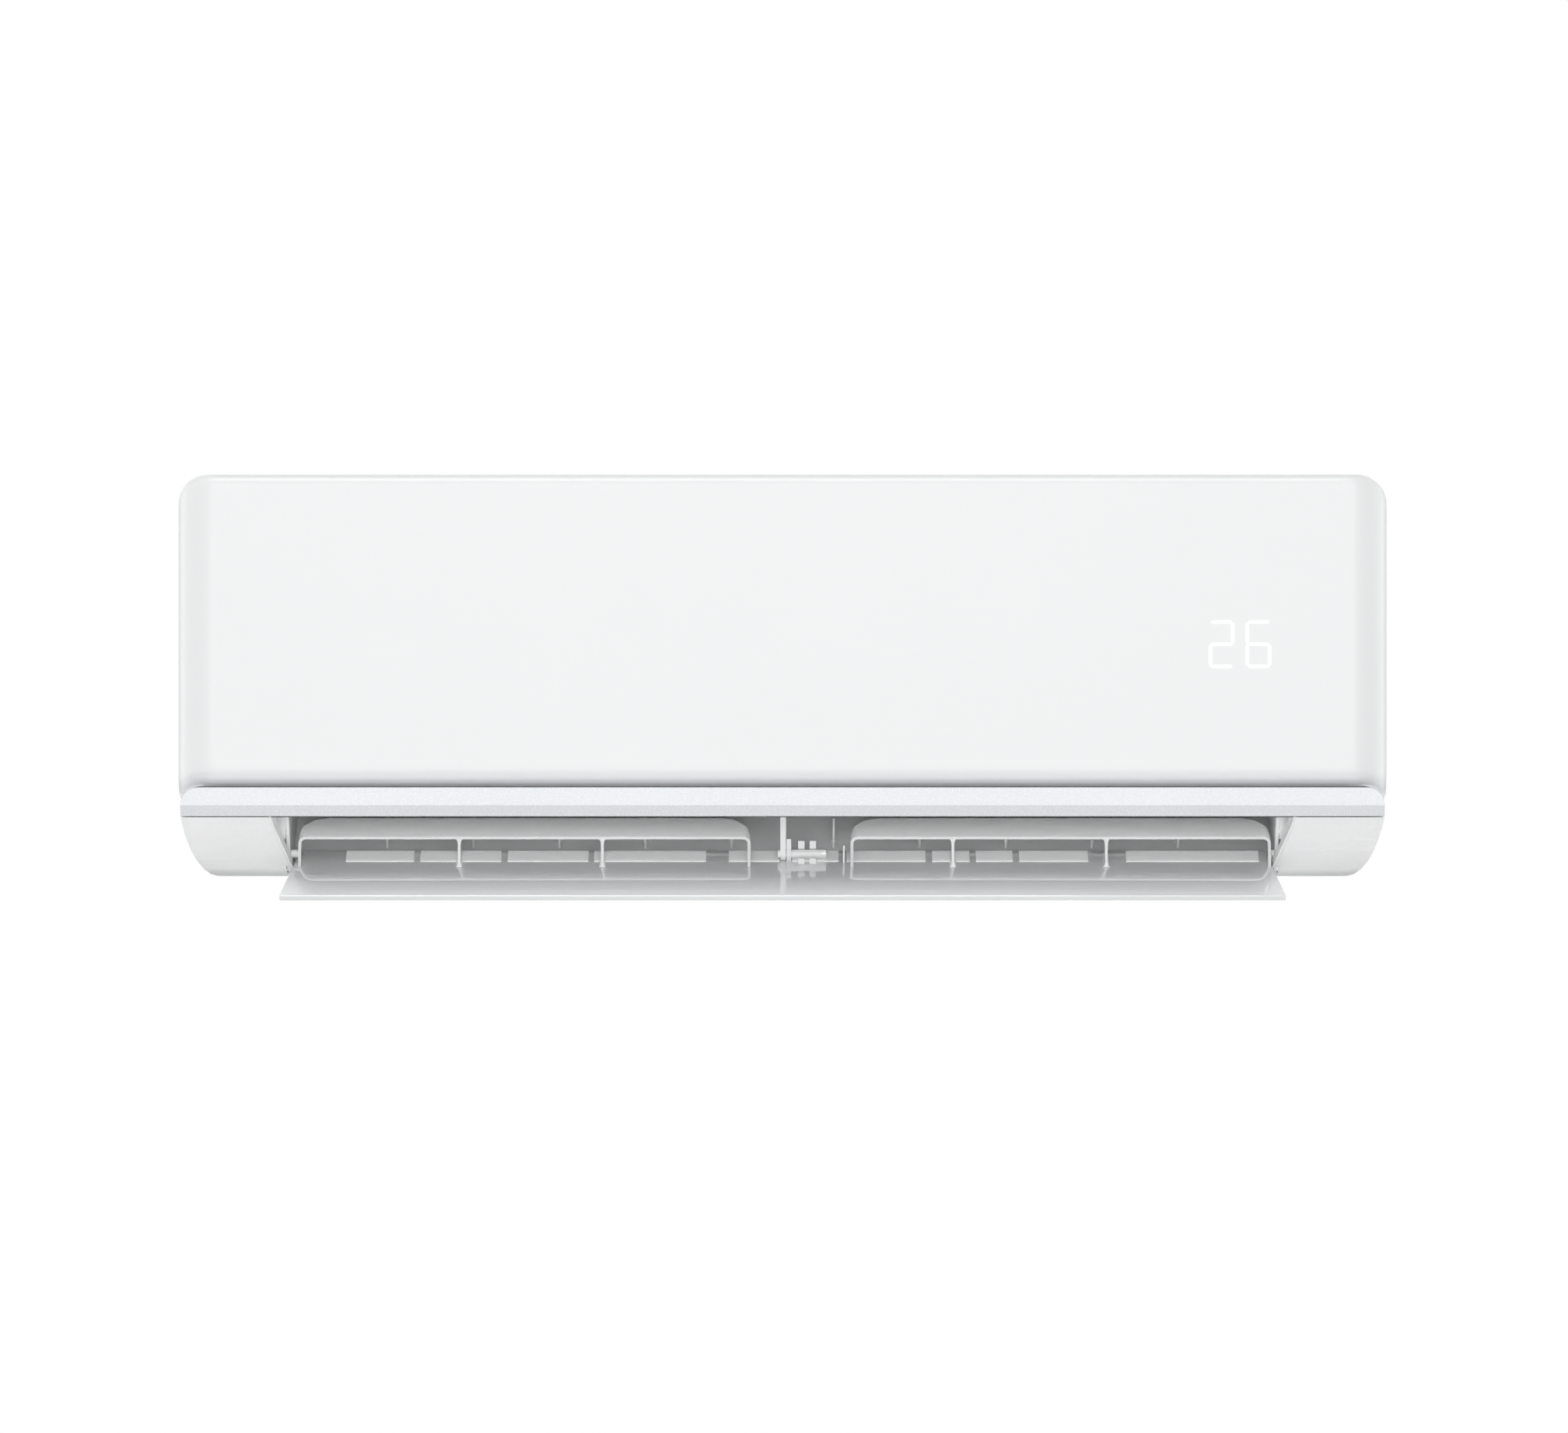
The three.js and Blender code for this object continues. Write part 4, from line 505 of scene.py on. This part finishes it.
def front_panel():
    """The panel: an outer face, an inner face one wall behind it, and a rim between them."""
    bm = bmesh.new()
    across, up = 120, 72
    outer, inner, lips = {}, {}, {}
    squeeze_x = (HALF - PANEL_WALL) / HALF
    squeeze_z = (PANEL_HALF_TALL - PANEL_WALL) / PANEL_HALF_TALL
    for i in range(across + 1):
        for j in range(up + 1):
            place, lip = panel_point(2 * i / across - 1, 2 * j / up - 1)
            back = Vector((place.x * squeeze_x, min(place.y + PANEL_WALL, lip - LIP_INSIDE),
                           PANEL_MIDDLE + (place.z - PANEL_MIDDLE) * squeeze_z))
            outer[i, j], inner[i, j] = bm.verts.new(place), bm.verts.new(back)
            if i in (0, across) or j in (0, up):
                lips[i, j] = [bm.verts.new((spot.x, lip, spot.z)) for spot in (place, back)]
    for i in range(across):
        for j in range(up):
            corners = ((i, j), (i + 1, j), (i + 1, j + 1), (i, j + 1))
            bm.faces.new([outer[corner] for corner in corners])
            bm.faces.new([inner[corner] for corner in reversed(corners)])
    rim = [(i, 0) for i in range(across)] + [(across, j) for j in range(up)]
    rim += [(i, up) for i in range(across, 0, -1)] + [(0, j) for j in range(up, 0, -1)]
    for one, two in zip(rim, rim[1:] + rim[:1]):
        bm.faces.new((outer[two], outer[one], lips[one][0], lips[two][0]))
        bm.faces.new((inner[one], inner[two], lips[two][1], lips[one][1]))
        bm.faces.new((lips[one][0], lips[one][1], lips[two][1], lips[two][0]))
    finished("front_panel_shell", bm, "panel_plastic", "front_panel", "front_panel", crease=50)


def panel_arms():
    """The two arms behind the panel's top corners, with the pins that it swings on."""
    bm = bmesh.new()
    arm_in, arm_thick, pin_in, pin_radius = HALF - 34, 4, HALF - 39.5, 2.0
    face, (y, z) = PANEL_FACE + 1.5, HINGE
    outline = [
        (face, z - 16), (face, z + 3.2), (y + 1.4, z + 3.2), (y + 3.4, z + 1.2), (y + 3.4, z - 8),
    ]
    for sign in (-1, 1):
        slab(bm, "X", outline, *sorted((sign * arm_in, sign * (arm_in + arm_thick))))
        rod(bm, pin_radius, *sorted((sign * pin_in, sign * (arm_in + 1))), y, z, sides=24)
    finished("panel_hinge_arms", bm, "panel_plastic", "front_panel", soften=0.3)


def inner_ribs():
    """Stiffening ribs on the panel's back, seen when it is lifted."""
    bm = bmesh.new()
    depth = (PANEL_FACE + 2.4, PANEL_FACE + 5.2)
    for z in (-55, -5, 45, 95):
        block(bm, (-HALF + 60, HALF - 150), depth, near(z, 0.7))
    for x in (-330, -170, 0, 170, 290):
        block(bm, near(x, 0.7), depth, (-60, 110))
    finished("panel_ribs", bm, "panel_plastic", "front_panel", soften=0.2)


def display_digits():
    """Two seven-bar digits that shine through the panel, 26 degrees."""
    # Each bar: its place across, its place up, and whether it lies level.
    bars = {
        "a": (0, 1, True), "b": (1, 0.5, False), "c": (1, -0.5, False), "d": (0, -1, True),
        "e": (-1, -0.5, False), "f": (-1, 0.5, False), "g": (0, 0, True),
    }
    wide, tall, thick, gap = 18.5, 34.7, 2.2, 0.35
    middle, proud, sunk = 23.2, 0.06, 0.6
    t = thick / 2
    bm = bmesh.new()
    for centre, lit in ((321.1, "abged"), (348.1, "afgecd")):
        for bar in lit:
            side, rise, level = bars[bar]
            x = centre + side * (wide - thick) / 2
            z = middle + rise * (tall - thick) / 2
            half = ((wide - thick) / 2 if level else (tall - thick) / 4) - gap
            outline = [
                (-half, 0), (-half + t, -t), (half - t, -t), (half, 0), (half - t, t), (-half + t, t),
            ]
            if not level:
                outline = [(b, a) for a, b in outline]
            face = panel_bow(z)
            slab(bm, "Y", [(x + a, z + b) for a, b in outline], face - proud, face + sunk)
    finished("display_digits", bm, "digit_light", "front_panel", crease=20)


# ---- strip, tabs and the frame ----------------------------------------------

def deco_strip():
    """The strip: a crease between two slopes, round upper ends and a rolled top edge."""
    bm = bmesh.new()
    half, rear = HALF - 2.2, FRAME_FRONT - 0.3
    high_edge, low_edge = FRONT + 3, FRONT + 3.5
    slab(bm, "X", [
        (rear, STRIP_TOP), (high_edge, STRIP_TOP), (FRONT, STRIP_CREASE), (low_edge, STRIP_LOW),
        (rear, STRIP_LOW),
    ], -half, half)
    round_edges(bm, lambda e: runs_along(e, "Y") and at(e, z=near(STRIP_TOP)), STRIP_CORNER, 12)
    round_edges(bm, lambda e: all(abs(vert.co.y - high_edge) < 0.01 for vert in e.verts), 3.4, 5)
    round_edges(bm, lambda e: runs_along(e, "X") and at(e, y=near(FRONT)), 1.6, 3)
    round_edges(
        bm, lambda e: runs_along(e, "X") and at(e, y=near(low_edge), z=near(STRIP_LOW)), 1.0, 3)
    finished("deco_strip_smooth", bm, "silver_trim", "housing", "deco_strip", crease=40)


def side_tabs():
    """A low finger grip on each side wall, narrower towards the rear."""
    low, high = BOTTOM + 74.9, BOTTOM + 102.7
    front, rear = FRAME_FRONT + 14, FRAME_FRONT + 60
    foot, thick, taper = HALF - 0.8, 1.4, 3
    for side, sign in SIDES:
        bm = bmesh.new()
        slab(bm, "X", [(front, low), (front, high), (rear, high - taper), (rear, low + taper)],
             *sorted((sign * foot, sign * (foot + thick))))
        round_edges(bm, lambda e: runs_along(e, "X"), 2.5)
        finished(f"side_tab_{side}_smooth", bm, "white_plastic", "housing", f"side_tab_{side}",
                 soften=0.5)


def grille_fins():
    """Thin fins that run across the top grille's slots."""
    bm = bmesh.new()
    rows, row_pitch, inset = 5, 30, 71
    for row in range(rows):
        for step in (-7.8, -2.6, 2.6, 7.8):
            y = step - row_pitch * (row + 1)
            block(bm, (-HALF + inset, HALF - inset), near(y, 0.7), (TOP - 3.4, TOP - 0.9))
    finished("grille_fins", bm, "white_plastic", "housing", soften=0.2)


# The curved face under the strip: start, pull and end of one arc, as (y, z).
SWEEP = (Vector((FRONT + 6, STRIP_LOW - 0.6)), Vector((FRONT + 26, BOTTOM + 16.5)),
         Vector((FRONT + 69, BOTTOM)))


def sweep(share, inset=0.0):
    """A point (y, z) on the curved face under the strip, set in from it."""
    a, b, c = SWEEP
    place = a * (1 - share) ** 2 + b * 2 * share * (1 - share) + c * share * share
    way = ((b - a) * (1 - share) + (c - b) * share).normalized()
    return place.x - way.y * inset, place.y + way.x * inset


def sweep_at(z):
    """The y of that face at a height."""
    share = 0.0
    while share < 1 and sweep(share)[1] > z:
        share += 0.005
    return sweep(share)[0]


BEZEL_IN = 361.4
# The outlet's side edge from top to bottom, as (x, z).
CHEEK_EDGE = ((374.5, -103.2), (369.2, -120.5), (365.4, -132.8), (360.7, -141.6))


def cheek_edge(z):
    """How far out the outlet's side edge lies at a height."""
    for (xa, za), (xb, zb) in zip(CHEEK_EDGE, CHEEK_EDGE[1:]):
        if zb <= z <= za:
            return xa + (xb - xa) * (za - z) / (za - zb)
    return CHEEK_EDGE[0][0] if z > CHEEK_EDGE[0][1] else CHEEK_EDGE[-1][0]


def outlet_beads():
    """The round lip along each side of the outlet, the bezel behind it and the end wall past that."""
    high, low = CHEEK_EDGE[0][1], CHEEK_EDGE[-1][1]
    steps = 24
    heights = [high + (low - high) * index / steps for index in range(steps + 1)]
    wall_x, wall_high, wall_low = (365.7, 394), -98, -120
    wall = [(FRONT + 34, wall_high), (FRONT + 35.5, wall_high), (FRONT + 44.5, wall_low),
            (FRONT + 43, wall_low)]
    for side, sign in SIDES:
        line = bpy.data.curves.new("lip", "CURVE")
        line.dimensions = "3D"
        spline = line.splines.new("POLY")
        spline.points.add(steps)
        for point, z in zip(spline.points, heights):
            point.co = (sign * (cheek_edge(z) + 0.5) * MM, (sweep_at(z) + 0.35) * MM, z * MM, 1)
        line.bevel_depth = 0.9 * MM
        line.bevel_resolution = 3
        line.use_fill_caps = True
        draft = bpy.data.objects.new("lip_draft", line)
        scene.collection.objects.link(draft)
        bpy.context.view_layer.update()
        bm = bmesh.new()
        bm.from_mesh(draft.to_mesh())
        draft.to_mesh_clear()
        bpy.data.objects.remove(draft)
        bmesh.ops.scale(bm, vec=(1 / MM,) * 3, verts=bm.verts)
        finished(f"outlet_lip_{side}", bm, "white_plastic", "housing", crease=50)

        bm = bmesh.new()
        ring = []
        for z in heights:
            out, front = cheek_edge(z), sweep_at(z)
            ring.append([bm.verts.new((sign * x, y, z)) for x, y in (
                (out + 0.4, front + 0.8), (max(out - 3.0, BEZEL_IN), front + 12),
                (max(out - 1.8, BEZEL_IN + 1.2), front + 12), (out + 1.6, front + 0.8))])
        for near, far in zip(ring, ring[1:]):
            for one, two in ((0, 1), (1, 2), (2, 3), (3, 0)):
                bm.faces.new((near[one], near[two], far[two], far[one]))
        bm.faces.new(ring[0])
        bm.faces.new(reversed(ring[-1]))
        finished(f"outlet_bezel_{side}", bm, "white_plastic", "housing", crease=40)

        bm = bmesh.new()
        slab(bm, "X", wall, *sorted(sign * x for x in wall_x))
        finished(f"outlet_end_{side}", bm, "inner_plastic", "housing")


# ---- louver -------------------------------------------------------------------

# The louver is drawn closed, round its pivot, and then turned open as in the photo.
LOUVER_TURN = Matrix.Translation((0, *PIVOT)) @ Matrix.Rotation(math.radians(OPEN_ANGLE), 4, "X")
FLAP_RIM = 4.0
# What stands on the flap's face reaches this far into it. Its rear strip is given in shares.
FLAP_SINK = 0.5
REAR_STRIP = (0.04, 0.25)
OUTSIDE = [(y - PIVOT[0], z - PIVOT[1])
           for y, z in (sweep(0.02 + 0.98 * i / 16, 0.5) for i in range(17))]
FLAP_FRONT, FLAP_REAR = Vector(OUTSIDE[0]), Vector(OUTSIDE[-1])
VANE_FRONT, VANE_REAR, VANE_THICK = (7.6, 11.7), (29.9, 0.3), 2.2


def flap_face(share, rise):
    """A point (y, z) on the flap's flat inner face, by its share from the rear edge."""
    way = FLAP_FRONT - FLAP_REAR
    inward = Vector((way.y, -way.x)).normalized()
    place = FLAP_REAR + way * share + inward * (FLAP_RIM + rise)
    return place.x, place.y


def turned_open(bm):
    bmesh.ops.transform(bm, matrix=LOUVER_TURN, verts=bm.verts)


def louver_flap():
    """The flap: a curved outside, a flat inside and slanted ends that follow the cheeks."""
    bm = bmesh.new()
    verts = slab(bm, "X", [*OUTSIDE, flap_face(0, 0), flap_face(1, 0)], -1, 1)
    a, _, c = SWEEP
    front = Vector((a.x - PIVOT[0], a.y - PIVOT[1]))
    chord = Vector((c.x - PIVOT[0], c.y - PIVOT[1])) - front
    front_half, rear_half = OUTLET_TOP_HALF - 5.6, OUTLET_LOW_HALF - 3.6
    for vert in verts:
        share = (Vector((vert.co.y, vert.co.z)) - front).dot(chord) / chord.length_squared
        half = front_half * (1 - share) + rear_half * share
        vert.co.x = math.copysign(half, vert.co.x)
    sharp = math.radians(40)
    round_edges(bm, lambda e: e.calc_face_angle(0) > sharp, 0.9, 3)
    turned_open(bm)
    finished("louver_flap_smooth", bm, "louver_gloss", "louver", "louver_flap", crease=30)


def hinge_lug():
    """The middle lug and the forked clips that hold the hinge pin on the flap."""
    bm = bmesh.new()
    lug_x, lug_radius, sleeve_radius, sleeve_end = (2.9, 6.5), 6.5, 3.4, 32.4
    foot = [flap_face(share, -FLAP_SINK) for share in reversed(REAR_STRIP)]
    slab(bm, "X", [*foot, (6, 2), (-6, 2)], *lug_x)
    rod(bm, lug_radius, *lug_x, 0, 0)
    rod(bm, sleeve_radius, lug_x[1] - 0.5, sleeve_end, 0, 0)
    turned_open(bm)
    y, z = PIVOT
    block(bm, (lug_x[0] + 0.05, lug_x[1] - 0.05), near(y, 5.5), (z, z + 11.0))
    clip_wide, clip_deep, clips = 4.9, 4.2, (11.4, 19.9)
    for x in clips:
        block(bm, (x, x + clip_wide), near(y, clip_deep), (z + 3.6, z + 9.6))
        block(bm, (x, x + clip_wide), near(y, clip_deep), (z - 9.2, z - 3.2))
        block(bm, (x, x + clip_wide), (y + 2.4, y + clip_deep), near(z, 4))
    stop = (44.5, 46.1)
    block(bm, stop, near(y, 4), (z - 7, z + 6.2))
    finished("louver_hinge_clips", bm, "louver_gloss", "louver", soften=0.4)


def louver_vane(side, ribs):
    """An inner vane: a plate whose ends bend down into ribs, and flared ribs between them.

    It is drawn upright, as a bridge whose plate is its top tenth. Its rear corners are cut round,
    and then every point goes to its place between the flap's face and the slanted plate.
    """
    bm = bmesh.new()
    end, under_plate = 2.2, 0.9
    low, high = min(ribs) - end / 2, max(ribs) + end / 2
    depth, drop = 12, 24.0
    slab(bm, "Y", [
        (low, 0), (low, 1), (high, 1), (high, 0), (high - end, 0), (high - end, under_plate),
        (low + end, under_plate), (low + end, 0),
    ], 0, 1)
    flare = ((2.4, 0), (1.4, 0.06), (1.0, 0.16), (1.0, 0.72), (1.5, 0.85), (3.0, 0.93))
    for x in ribs:
        if low + 5 < x < high - 5:
            slab(bm, "Y", [*((x - half, rise) for half, rise in flare),
                           *((x + half, rise) for half, rise in reversed(flare))], 0, 1)
    for vert in bm.verts:
        vert.co.z *= drop
        vert.co.y *= depth
    round_edges(bm, lambda e: runs_along(e, "Y") and at(e, z=near(drop)), 5.5, 6)
    round_edges(bm, lambda e: runs_along(e, "Y") and at(e, z=near(drop * under_plate))
                and not low + 3 <= e.verts[0].co.x <= high - 3, 3.3, 6)
    cut_wide, cut_deep = 24, 11
    for corner, sign in ((low, 1), (high, -1)):
        for turn in (15, 45, 75):
            across, back = -sign * math.cos(math.radians(turn)), math.sin(math.radians(turn))
            reach = Vector((corner + sign * cut_wide + cut_wide * across,
                            depth - cut_deep + cut_deep * back, 0))
            skew = Vector((across / cut_wide, back / cut_deep, 0)).normalized()
            bmesh.ops.bisect_plane(
                bm, geom=[*bm.verts, *bm.edges, *bm.faces], plane_co=reach, plane_no=skew,
                clear_outer=True)
            bmesh.ops.holes_fill(bm, edges=[edge for edge in bm.edges if edge.is_boundary])
    foot_front, foot_rear = (Vector(flap_face(share, 0.1)) for share in (0.38, 0.1))
    head_front, head_rear = Vector(VANE_FRONT), Vector(VANE_REAR)
    slope = (head_rear - head_front).normalized()
    sink = Vector((slope.y, -slope.x)) * VANE_THICK
    for vert in bm.verts:
        back, rise = vert.co.y / depth, vert.co.z / drop
        head = head_front.lerp(head_rear, back)
        foot = foot_front.lerp(foot_rear, back)
        under = head + sink
        if rise > under_plate:
            place = under.lerp(head, (rise - under_plate) / (1 - under_plate))
        else:
            place = foot.lerp(under, rise / under_plate)
        vert.co.y, vert.co.z = place.x, place.y
    eye, eye_radius = (low if side == "left" else high - end), 4.8
    rod(bm, eye_radius, eye, eye + end, 0, 0)
    turned_open(bm)
    finished(f"louver_vane_{side}_smooth", bm, "louver_white", "louver", f"louver_vane_{side}",
             crease=30, soften=0.45)


# Both ends of each pad along x.
PADS = (
    (-322.494, -271.931), (-267.603, -207.653), (-203.041, -143.376), (-139.332, -56.345),
    (-39.787, -2.306), (6.857, 41.493), (47.244, 105.771), (110.384, 138.194),
    (142.807, 170.048), (174.661, 225.794), (253.729, 352.073),
)


def flap_pads():
    """Raised pads along the rear of the flap's inner face."""
    bm = bmesh.new()
    rear, front = REAR_STRIP
    outline = [flap_face(rear, -FLAP_SINK), flap_face(rear + 0.01, 1.6), flap_face(front, 0.6),
               flap_face(front + 0.01, -FLAP_SINK)]
    for ends in PADS:
        slab(bm, "X", outline, *ends)
    turned_open(bm)
    finished("louver_pads", bm, "louver_white", "louver", soften=0.4)


def plate_beads():
    """Four stiffening beads on the room side of the wall plate."""
    bm = bmesh.new()
    for x in (-220, 220):
        for z in (-88, 106):
            block(bm, near(x, 60), (-2.2, -1.2), near(z, 3))
    finished("plate_beads", bm, "zinc", "housing", soften=0.9)


front_panel()
panel_arms()
inner_ribs()
display_digits()
deco_strip()
side_tabs()
grille_fins()
outlet_beads()
louver_flap()
hinge_lug()
louver_vane("left", [86.4 - HALF, 204 - HALF, 309.6 - HALF, -24.7])
louver_vane("right", [HALF - 83.3, HALF - 203.6, HALF - 316.8, 51.2])
flap_pads()
plate_beads()
softened("front_frame", "housing", 0.0)
softened("centre_stay", "housing", 0.4)
softened("louver_pivot_pin", "louver", 0.3)
softened("louver_crank", "louver", 0.3)
softened("louver_hinge_pin", "louver", 0.3)
softened("auto_button", "auto_button", 0.4)
softened("base_chassis", "housing", 0.0)


# ---- studio ------------------------------------------------------------------

def reckoned(tree, operation, *parts):
    """A math node fed by sockets and numbers."""
    made = tree.nodes.new("ShaderNodeMath")
    made.operation = operation
    for slot, part in enumerate(parts):
        if isinstance(part, float):
            made.inputs[slot].default_value = part
        else:
            tree.links.new(part, made.inputs[slot])
    return made.outputs[0]


def mixed(tree, share, first, second):
    """Two shaders mixed by a share."""
    made = tree.nodes.new("ShaderNodeMixShader")
    for slot, part in enumerate((share, first, second)):
        tree.links.new(part, made.inputs[slot])
    return made.outputs[0]


SKY_LEVEL, SKY_FALL = 0.27, 0.2


def soft_sky():
    """A dim sky, weaker to the sides, that the camera and mirrors see as plain white."""
    world = bpy.data.worlds.new("studio_sky")
    scene.world = world
    world.use_nodes = True
    tree = world.node_tree
    tree.nodes.clear()
    path = tree.nodes.new("ShaderNodeLightPath").outputs
    seen = reckoned(tree, "MAXIMUM", path["Is Camera Ray"], path["Is Transmission Ray"])
    seen = reckoned(tree, "MAXIMUM", seen, path["Is Glossy Ray"])
    split = tree.nodes.new("ShaderNodeSeparateXYZ")
    tree.links.new(tree.nodes.new("ShaderNodeTexCoord").outputs["Generated"], split.inputs[0])
    squared = reckoned(tree, "MULTIPLY", split.outputs["X"], split.outputs["X"])
    soft = tree.nodes.new("ShaderNodeBackground")
    soft.inputs["Color"].default_value = (0.96, 0.98, 1.0, 1)
    strength = reckoned(tree, "MULTIPLY_ADD", squared, -SKY_FALL, SKY_LEVEL)
    tree.links.new(strength, soft.inputs["Strength"])
    white = tree.nodes.new("ShaderNodeBackground")
    white.inputs["Color"].default_value = (1, 1, 1, 1)
    white.inputs["Strength"].default_value = 1.0
    output = tree.nodes.new("ShaderNodeOutputWorld")
    tree.links.new(mixed(tree, seen, soft.outputs[0], white.outputs[0]), output.inputs[0])


FLOOR_SIZE, FLOOR_HEIGHT = 9, -4.8


def white_floor():
    """A pale floor, far below the unit so that it can be seen from underneath."""
    paint = Finish("floor_paint", 0.8)
    spread = paint.speckle(400, 2.0)
    paint.feed("Base Color", paint.blend(spread, (0.9, 0.9, 0.9), (0.92, 0.92, 0.92)))
    glow = paint.tree.nodes.new("ShaderNodeEmission")
    glow.inputs["Color"].default_value = (1, 1, 1, 1)
    seen = paint.tree.nodes.new("ShaderNodeLightPath").outputs["Is Camera Ray"]
    cover = mixed(paint.tree, seen, paint.shader.outputs["BSDF"], glow.outputs[0])
    paint.tree.links.new(cover, paint.output.inputs["Surface"])
    bm = bmesh.new()
    bmesh.ops.create_grid(bm, x_segments=1, y_segments=1, size=FLOOR_SIZE)
    bmesh.ops.translate(bm, vec=(0, 0, FLOOR_HEIGHT), verts=bm.verts)
    mesh = bpy.data.meshes.new("floor")
    bm.to_mesh(mesh)
    bm.free()
    mesh.materials.append(paint.material)
    floor = bpy.data.objects.new("floor", mesh)
    scene.collection.objects.link(floor)


def lamp(name, place, target, size, power, shines=True, beam=180):
    """A softbox. One that does not shine lights the unit without a mirror image of itself in it."""
    data = bpy.data.lights.new(name, "AREA")
    data.shape = "RECTANGLE"
    data.size, data.size_y = size
    data.energy = power
    data.spread = math.radians(beam)
    light = bpy.data.objects.new(name, data)
    light.location = place
    light.visible_glossy = shines
    light.rotation_euler = (Vector(target) - Vector(place)).to_track_quat("-Z", "Y").to_euler()
    scene.collection.objects.link(light)


def photo_camera():
    """Straight on and level, scaled to the photo at the panel's face."""
    photo_wide, sensor, from_wall = 2016, 36, 6.2
    data = bpy.data.cameras.new("camera")
    data.sensor_width = sensor
    data.lens = sensor * (from_wall + PANEL_FACE * MM) / (photo_wide / PIXELS_PER_MM * MM)
    data.clip_end = 60
    camera = bpy.data.objects.new("camera", data)
    camera.location = (0.0011, -from_wall, -0.0297)
    camera.rotation_euler = (math.pi / 2, 0, 0)
    scene.collection.objects.link(camera)
    scene.camera = camera


soft_sky()
white_floor()
lamp("front", (0, -7.6, 0.2), (0, -0.15, 0), (4.4, 3.2), 276, shines=False)
lamp("overhead", (-0.5, -2.2, 3.6), (0, -0.15, 0), (3.0, 2.0), 62)
lamp("below", (0, -2.6, -3.0), (0, -0.15, -0.1), (3.0, 1.4), 17, shines=False)
lamp("outlet", (0, -1.7, -0.16), (0, -0.15, -0.13), (1.1, 0.02), 0.02, shines=False, beam=3)
lamp("left", (-4.2, 1.1, 1.0), (0, -0.12, 0), (2.2, 2.2), 62, shines=False)
lamp("right", (4.2, 1.1, 1.0), (0, -0.12, 0), (2.2, 2.2), 62, shines=False)
lamp("rear", (0, 4.4, 2.6), (0, 0, 0), (4.0, 2.4), 150, shines=False)
photo_camera()
scene.view_settings.view_transform = "Standard"
